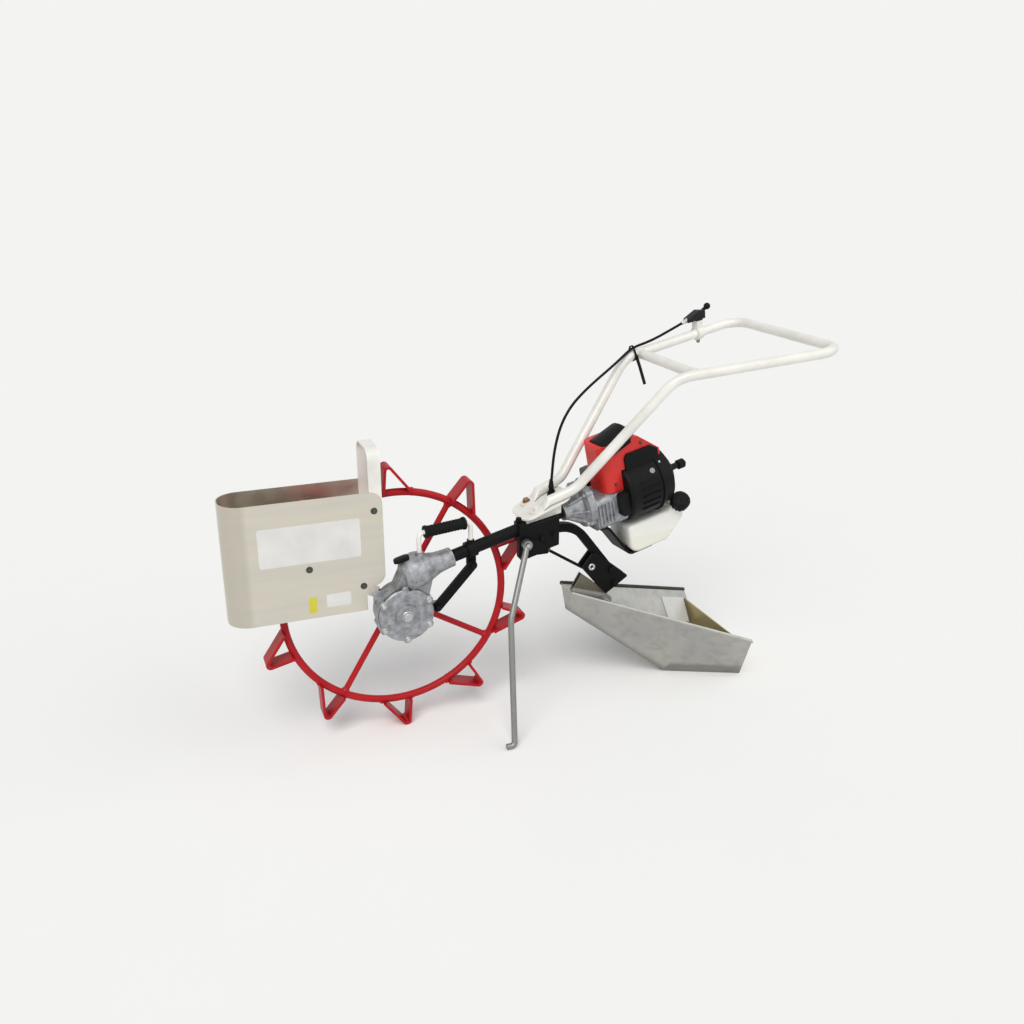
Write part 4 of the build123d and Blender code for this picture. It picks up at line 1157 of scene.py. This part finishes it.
@dataclass
class PloughGear(SubAssembly):
    """Bolts and bushes of the plough's holder, a dark strip of painted shade on its far hem, and blank label of
    its hull.
    """

    holder_face: float = 14.0
    holder_bolts: Profile = ((505.0, -3.0), (514.0, -38.5))
    holder_hole: tuple[float, float] = (456.0, 9.0)
    hem_front: Place = (399.96, 31.0, -40.0)
    hem_rear: Place = (829.96, 165.0, -183.856)
    hem_share: float = 0.946
    shade_strip_radius: float = 5.0
    label_corners: tuple[Place, ...] = (
        (716.0, 115.1, -164.0), (796.0, 139.9, -190.0), (796.0, 104.3, -244.0), (726.0, 85.2, -220.0))
    label_gap: float = 0.3
    label_sheet: float = 0.8

    def build(self) -> None:
        """Bolts and bushes on both plates, a dark strip of painted shade along the far rim, and the label inside
        the far wall.
        """
        self.bolt("holder_bolts", HexBolt(across=13.0, head=5.5, washer=18.0),
                  on_both(self.holder_bolts, self.holder_face - SINK), Finishes.BLACK)
        bush = [(3.4, -1.0), (8.2, -1.0), (8.2, 0.7), (7.5, 1.4), (4.1, 1.4), (3.4, 0.7), (3.4, -1.0)]
        self.turn("hole_bushes", bush, 28, on_both([self.holder_hole], self.holder_face), Finishes.ZINC)
        front = at(*self.hem_front)
        rear = front.lerp(at(*self.hem_rear), self.hem_share)
        # Painted shade: a dark rod along the far hem only, standing in for its shade.
        self.keep(Bench.rod("far_hem_shade_strip", [front, rear], self.shade_strip_radius), Finishes.HEM_SHADE, "rubber")
        corners = [at(*corner) for corner in self.label_corners]
        inward = (corners[1] - corners[0]).cross(corners[3] - corners[0]).normalized()
        if inward.y > 0.0:
            inward = -inward
        raised = [corner + inward * self.label_gap * MM for corner in corners]
        label = Bench.slab("hull_label", raised, inward * self.label_sheet * MM)
        self.keep(label, Finishes.LABEL, "white_paint")


@dataclass
class EngineTrim(SubAssembly):
    """Screws, ribs, caps and small fittings of the engine, placed along its own axes."""

    origin: Vector = field(default_factory=lambda: at(371.42, -27.53, 158.20))
    along: Vector = field(default_factory=lambda: Vector((0.97262, 0.11942, 0.19937)))
    right: Vector = field(default_factory=lambda: Vector((-0.12187, 0.99255, 0.0)))
    up: Vector = field(default_factory=lambda: Vector((-0.19788, -0.02430, 0.97992)))
    rim_face: float = 230.0
    rim_circle: float = 74.0
    clutch_face: float = 46.0
    clutch_circle: float = 48.0
    crank_half: float = 46.0
    shroud_half: float = 42.0
    shroud_screws: Profile = ((122.0, 34.0), (198.0, 107.0))
    cowl_outline: Profile = (
        (150.0, 54.0), (150.0, 86.0), (157.0, 95.0), (220.0, 95.0), (238.0, 83.0), (238.0, 54.0))
    cowl_sheet: float = 7.0
    cover_section: Profile = (
        (-44.5, 96.0), (-44.5, 114.0), (-39.0, 123.5), (-24.0, 130.5), (-6.0, 133.0), (10.0, 131.0),
        (22.0, 126.0), (26.0, 119.0), (26.0, 98.0))
    cover_start: float = 106.0
    cover_run: tuple[float, float] = (66.0, 19.8)
    cover_tail: tuple[float, float] = (20.0, -9.0)
    tail_share: float = 0.5
    housing_radius: float = 74.0
    housing_ribs: tuple[float, ...] = (158.0, 171.0, 184.0, 197.0, 210.0)
    housing_rib_at: float = 192.0
    crank_ribs: tuple[float, ...] = (68.0, 77.0, 86.0, 95.0, 104.0)
    crank_rib_up: float = -22.0
    rib_half: float = 24.0
    filler: Place = (277.6, -44.7, -69.7)
    cap_length: float = 20.0
    plug_boot: Place = (72.0, 28.0, 16.0)
    housing_plug: tuple[float, float] = (207.0, 145.0)
    recoil_mouth: Place = (280.0, -16.0, 8.0)
    exhaust_root: Place = (116.0, 30.0, 38.0)
    exhaust_mouth: Place = (120.0, 75.0, 38.0)
    exhaust_size: Place = (34.0, 22.0, 45.0)
    cleaner_knob: Place = (100.0, 80.0, -12.0)

    def move(self, s: float, right: float, up: float) -> Vector:
        """A move in millimetres along the engine's axes, as metres in the frame."""
        return (self.along * s + self.right * right + self.up * up) * MM

    def spot(self, s: float, right: float, up: float) -> Vector:
        """A place in millimetres along, right of and above the engine's axis."""
        return self.origin + self.move(s, right, up)

    def outward(self, angle: float) -> Vector:
        """The direction away from the engine's axis at an angle in degrees from its right."""
        turn = math.radians(angle)
        return self.right * math.cos(turn) + self.up * math.sin(turn)

    def ring(self, s: float, radius: float, outward: Vector) -> list[Matrix]:
        """Four seats in a ring round the engine's axis.

        Args:
            s: Place along the axis in millimetres.
            radius: The ring's radius in millimetres.
            outward: Direction that the pieces look.

        Returns:
            The seats.
        """
        centre = self.spot(s, 0.0, 0.0)
        return [pose(centre + self.outward(angle) * radius * MM, outward, self.up)
                for angle in (45.0, 135.0, 225.0, 315.0)]

    def screws(self) -> None:
        """Screws of the starter's rim, the clutch housing and the shroud."""
        small = HexBolt(across=5.5, head=3.6, washer=6.4, washer_sheet=0.8)
        seats = self.ring(self.rim_face - SINK, self.rim_circle, self.along)
        self.bolt("starter_screws", small, seats, Finishes.ZINC)
        seats = self.ring(self.clutch_face + SINK, self.clutch_circle, -self.along)
        self.bolt("clutch_bolts", HexBolt(across=8.0, head=4.5, washer=11.0, washer_sheet=1.2), seats,
                  Finishes.ZINC)
        seats = [pose(self.spot(s, side * (self.shroud_half - SINK), up), self.right * side, self.up)
                 for s, up in self.shroud_screws for side in SIDES]
        self.bolt("shroud_screws", small, seats, Finishes.DARK_STEEL)

    def ribs(self) -> None:
        """Cooling ribs on the left of the crankcase, and stiffening ribs round the fan housing."""
        rib = Bench.block("crank_rib", 1.4, self.rib_half, 5.0, 0.7)
        seats = [pose(self.spot(s, 0.5 - self.crank_half, self.crank_rib_up), -self.right, self.up)
                 for s in self.crank_ribs]
        self.keep(Bench.copies("crank_ribs", rib, seats), Finishes.CAST)
        rib = Bench.block("housing_rib", 1.5, self.rib_half, 4.0, 0.8)
        centre = self.spot(self.housing_rib_at, 0.0, 0.0)
        seats = [pose(centre + self.outward(angle) * (self.housing_radius - 1.0) * MM, self.outward(angle),
                      self.along) for angle in self.housing_ribs]
        self.keep(Bench.copies("housing_ribs", rib, seats), Finishes.PLASTIC)

    def cover(self) -> None:
        """The domed top cover, hooked over the left side and narrower to the rear, and the cowl."""
        corners = [self.spot(self.cover_start, right, up) for right, up in self.cover_section]
        forward, rise = self.cover_run
        dome = Bench.slab("cover_dome", corners, self.move(forward, 0.0, rise))
        middle = Bench.pick(dome, self.along)
        forward, rise = self.cover_tail
        tail = self.move(forward, 0.0, rise)
        with Bench.edit(dome, "FACE", whole=False):
            bpy.ops.mesh.extrude_region_move(TRANSFORM_OT_translate={"value": tail})
            bpy.ops.transform.resize(value=(self.tail_share,) * 3, center_override=middle + tail)
        Bench.bevel(Bench.tidy(dome), 4.0, segments=3, angle=18.0)
        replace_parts(self.keep(dome, Finishes.PLASTIC), "top_cover")
        corners = [self.spot(s, 2.0 - self.shroud_half, up) for s, up in self.cowl_outline]
        cowl = Bench.slab("housing_cowl", corners, self.move(0.0, -self.cowl_sheet, 0.0), 2.0)
        self.keep(cowl, Finishes.PLASTIC)

    def caps(self) -> None:
        """The fuel cap's top, the filler's collar, the plug's boot, the pale plug and the recoil's sleeve."""
        out = (self.up - self.right).normalized()
        base = self.spot(*self.filler)
        top = [(0.0, -0.5), (16.0, -0.5), (16.0, 1.2), (14.6, 2.0), (12.5, 2.0), (11.5, 1.0), (4.5, 1.0),
               (3.8, 2.6), (0.0, 2.8)]
        self.turn("cap_top", top, 40, [pose(base + out * self.cap_length * MM, out)], Finishes.PLASTIC)
        collar = [(13.0, -7.0), (18.0, -6.0), (18.6, -4.0), (17.0, -1.0), (15.0, -0.2), (13.0, -0.2),
                  (13.0, -7.0)]
        self.turn("filler_collar", collar, 40, [pose(base, out)], Finishes.TANK)
        boot = [(0.0, -1.0), (7.0, -1.0), (7.0, 12.0), (8.0, 14.0), (10.5, 15.0), (10.5, 24.0), (9.0, 28.0),
                (5.0, 30.5), (0.0, 31.0)]
        self.turn("plug_boot", boot, 28, [pose(self.spot(*self.plug_boot), self.up)], Finishes.RUBBER)
        s, angle = self.housing_plug
        outward = self.outward(angle)
        plug = [(0.0, -2.0), (6.5, -2.0), (6.5, 0.6), (5.7, 1.4), (3.4, 1.6), (2.6, 0.9), (0.0, 0.9)]
        seat = pose(self.spot(s, 0.0, 0.0) + outward * self.housing_radius * MM, outward)
        self.turn("housing_plug", plug, 28, [seat], Finishes.DULL_ZINC, "zinc")
        sleeve = [(4.8, -1.0), (12.0, -1.0), (10.5, 5.0), (7.6, 10.0), (7.0, 22.0), (4.8, 22.0), (4.8, -1.0)]
        seat = pose(self.spot(*self.recoil_mouth), self.along, self.up)
        self.turn("recoil_sleeve", sleeve, 28, [seat], Finishes.PLASTIC)

    def exhaust(self) -> None:
        """The exhaust box with its outlet, and the air cleaner's knob, on the far side."""
        width, height, depth = self.exhaust_size
        box = Bench.bevel(Bench.block("exhaust_box", width / 2, height / 2, depth), 5.0, segments=4)
        Bench.seat(box, pose(self.spot(*self.exhaust_root), self.right, self.up))
        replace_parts(self.keep(box, Finishes.DARK_STEEL), "muffler")
        outlet = [(0.0, -2.0), (7.0, -2.0), (7.0, 6.0), (6.4, 6.6), (5.2, 6.6), (4.6, 6.0), (4.6, 1.0),
                  (0.0, 1.0)]
        seat = pose(self.spot(*self.exhaust_mouth), self.right, self.up)
        self.turn("exhaust_outlet", outlet, 28, [seat], Finishes.DARK_STEEL)
        knob = [(0.0, -1.0), (6.0, -1.0), (6.0, 3.0), (11.0, 4.0), (12.0, 5.5), (12.0, 9.0), (10.5, 10.5),
                (0.0, 11.0)]
        seat = pose(self.spot(*self.cleaner_knob), self.right, self.up)
        self.turn("cleaner_knob", knob, 12, [seat], Finishes.PLASTIC)

    def build(self) -> None:
        """All of the engine's small fittings."""
        self.screws()
        self.ribs()
        self.cover()
        self.caps()
        self.exhaust()


@dataclass
class ThrottleGear(SubAssembly):
    """The throttle's cable, its end pieces, the clamp's screw and the strap's tail."""

    corner: Vector = field(default_factory=lambda: at(578.96, 99.2, 460.353))
    run: Vector = field(default_factory=lambda: Vector((0.95834, 0.24715, 0.14329)))
    up: Vector = field(default_factory=lambda: Vector((-0.13875, -0.03578, 0.98969)))
    boot_top: Vector = field(default_factory=lambda: at(352.96, -12.0, 214.522))
    rises: tuple[Place, ...] = (
        (2.0, 0.0, 39.0), (8.0, 1.0, 87.0), (23.0, 7.0, 132.0), (51.0, 20.0, 168.0), (90.0, 38.0, 193.5),
        (133.0, 59.5, 214.0), (171.0, 76.0, 231.5), (208.0, 93.0, 250.0))
    rests: Profile = ((22.0, 17.2), (80.0, 18.5), (138.0, 27.5), (195.0, 38.1))
    radius: float = 3.0
    length: float = 0.592
    lever_run: float = 231.0
    ring_radius: float = 15.1
    tail: tuple[Place, ...] = (
        (602.5, 91.0, 466.0), (606.0, 89.2, 455.0), (612.5, 88.6, 438.0), (620.0, 88.8, 417.0),
        (627.5, 89.6, 397.0))
    tail_width: float = 8.5
    tail_sheet: float = 1.3

    def rail_at(self, run: float, up: float) -> Vector:
        """A place in millimetres along the right rail and above its axis."""
        return self.corner + (self.run * run + self.up * up) * MM

    def cable(self) -> Piece:
        """The cable's sheath as one smooth line from the boot to the lever.

        Returns:
            The sheath, as a curve.
        """
        route = [self.boot_top] + [self.boot_top + Vector(rise) * MM for rise in self.rises]
        route += [self.rail_at(*rest) for rest in self.rests]
        data = bpy.data.curves.new("throttle_sheath", "CURVE")
        data.dimensions = "3D"
        spline = data.splines.new("NURBS")
        spline.points.add(len(route) - 1)
        for point, place in zip(spline.points, route):
            point.co = (*place, 1.0)
        spline.order_u = 3
        spline.use_endpoint_u = True
        data.resolution_u = 8
        data.bevel_depth = self.radius * MM
        data.bevel_resolution = 4
        data.use_fill_caps = True
        sheath = bpy.data.objects.new("throttle_sheath", data)
        bpy.context.scene.collection.objects.link(sheath)
        return sheath

    def build(self) -> None:
        """The cable and its sleeves, the screw under the clamp and the tail of the strap."""
        sheath = self.cable()
        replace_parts(sheath, "throttle_cable")
        relief = [(3.1, -2.0), (6.2, -2.0), (6.0, 2.0), (4.6, 4.0), (5.4, 6.0), (4.2, 8.0), (4.9, 10.0),
                  (3.9, 12.0), (3.6, 16.0), (3.1, 16.0), (3.1, -2.0)]
        self.turn("boot_sleeve", relief, 24, [pose(self.boot_top, UP, LEFT)], Finishes.RUBBER)
        end = self.rail_at(*self.rests[-1])
        back = (self.rail_at(*self.rests[-2]) - end).normalized()
        ferrule = [(3.1, -3.0), (5.2, -3.0), (5.2, 5.0), (4.2, 6.0), (4.2, 15.0), (3.6, 16.0), (3.1, 16.0),
                   (3.1, -3.0)]
        self.turn("cable_ferrule", ferrule, 24, [pose(end, back)], Finishes.ZINC)
        seat = pose(self.rail_at(self.lever_run, 0.4 - self.ring_radius), -self.up, self.run)
        screw = HexBolt(across=8.0, head=6.0, washer=11.0)
        self.bolt("clamp_screw", screw, [seat], Finishes.DULL_ZINC, "zinc")
        across = self.run * self.tail_width * MM
        places = [at(*place) - across / 2 for place in self.tail]
        self.keep(Bench.strip("strap_tail", places, across, self.tail_sheet), Finishes.PLASTIC)
        self.keep(sheath, Finishes.RUBBER)


@dataclass
class Studio:
    """Pale floor, soft lamps and the camera."""

    eye: Place = (-468.0, -1910.0, 905.0)
    azimuth: float = -21.03
    elevation: float = 19.95
    focal_share: float = 1000.0 / 1024.0
    sensor: float = 36.0
    paper: Colour = (0.90, 0.90, 0.89)
    floor_size: float = 60.0
    floor_drop: float = 0.0005
    floor_shades: tuple[float, float] = (1.013, 1.03)
    sky: Colour = (0.97, 0.98, 1.0)
    ambient: float = 0.4

    def floor(self) -> None:
        """A wide pale floor that keeps the machine's shadow."""
        Bench.clear()
        bpy.ops.mesh.primitive_plane_add(size=self.floor_size, location=(0.0, 0.0, -self.floor_drop))
        floor = bpy.context.object
        floor.name = "floor"
        graph = ShaderGraph(bpy.data.materials.new("pale_floor"))
        dark, light = (shade(self.paper, factor) for factor in self.floor_shades)
        tone = graph.mix(dark, light, graph.noise(3.0))
        floor.data.materials.append(graph.surface(Base_Color=tone, Roughness=0.9, Specular_IOR_Level=0.0))

    def world(self) -> None:
        """Plain light from all round, and the pale background that camera, gloss and glass see."""
        world = bpy.data.worlds.new("soft_room")
        bpy.context.scene.world = world
        graph = ShaderGraph(world)
        seen = graph.node("ShaderNodeLightPath", out="Is Camera Ray")
        for ray in ("Is Glossy Ray", "Is Transmission Ray"):
            seen = seen.above(graph.node("ShaderNodeLightPath", out=ray))
        light, backdrop = (
            graph.node("ShaderNodeBackground", inputs={"Color": (*colour, 1.0), "Strength": strength})
            for colour, strength in ((self.sky, self.ambient), (self.paper, 1.0)))
        graph.close(graph.node("ShaderNodeMixShader", inputs={0: seen, 1: light, 2: backdrop}))

    def lamp(self, name: str, place: Vector, strength: float, spread: float, tint: Colour) -> None:
        """A wide soft lamp that shines evenly from one side.

        Args:
            name: The lamp's name.
            place: The side that it shines from.
            strength: Its strength.
            spread: Its spread in degrees.
            tint: Its colour.
        """
        Bench.clear()
        bpy.ops.object.light_add(type="SUN", location=place)
        lamp = bpy.context.object
        lamp.name = name
        lamp.data.energy = strength
        lamp.data.angle = math.radians(spread)
        lamp.data.color = tint
        lamp.rotation_euler = (-place).to_track_quat("-Z", "Y").to_euler()

    def camera(self) -> None:
        """The camera at the photograph's place."""
        turn = math.radians(self.azimuth)
        rise = math.radians(self.elevation)
        level = math.cos(rise)
        back = Vector((math.sin(turn) * level, -math.cos(turn) * level, math.sin(rise)))
        data = bpy.data.cameras.new("camera")
        data.sensor_width = self.sensor
        data.lens = self.focal_share * self.sensor
        data.clip_end = 100.0
        camera = bpy.data.objects.new("camera", data)
        bpy.context.scene.collection.objects.link(camera)
        camera.location = at(*self.eye)
        camera.rotation_mode = "QUATERNION"
        camera.rotation_quaternion = (-back).to_track_quat("-Z", "Y")
        bpy.context.scene.camera = camera

    def build(self) -> None:
        """Floor, light and camera."""
        bpy.context.scene.view_settings.view_transform = "Standard"
        self.floor()
        self.world()
        self.lamp("key_lamp", Vector((-1.6, -2.6, 3.4)), strength=1.9, spread=38.0, tint=(1.0, 0.985, 0.96))
        self.lamp("fill_lamp", Vector((2.6, -1.6, 2.6)), strength=0.7, spread=60.0, tint=(0.96, 0.98, 1.0))
        self.camera()


def dress_frame(finishes: Finishes) -> None:
    """Gives every solid of the frame its finish by the record's slots, or its own.

    Args:
        finishes: The machine's finishes.
    """
    own = {"plough_hull": Finishes.HULL, "side_stand": Finishes.DULL_ZINC, "guard": Finishes.GUARD,
           "throttle_clamp": Finishes.LEVER_BODY}
    for entry in frame["record"]["subparts"]:
        name = entry["node"]
        material = finishes.get(own[name]) if name in own else finishes.by_slot(entry["material_slot"])
        for slot in frame["nodes"][name].material_slots:
            slot.material = material


def main() -> None:
    """Builds the studio and the machine's fittings in order."""
    logging.basicConfig(level=logging.INFO, format="%(name)s: %(message)s")
    finishes = Finishes()
    Studio().build()
    dress_frame(finishes)
    for kind in (ThrottleGear, DriveWheel, GearCase, WheelGuard, CarryHandle, FrameFittings, HandleFrame,
                 PloughGear, EngineTrim):
        group = kind(finishes)
        group.build()
        for piece in group.pieces:
            LOG.info("%s of %s", piece.name, kind.__name__)
    Bench.clear()


if __name__ == "__main__":
    main()
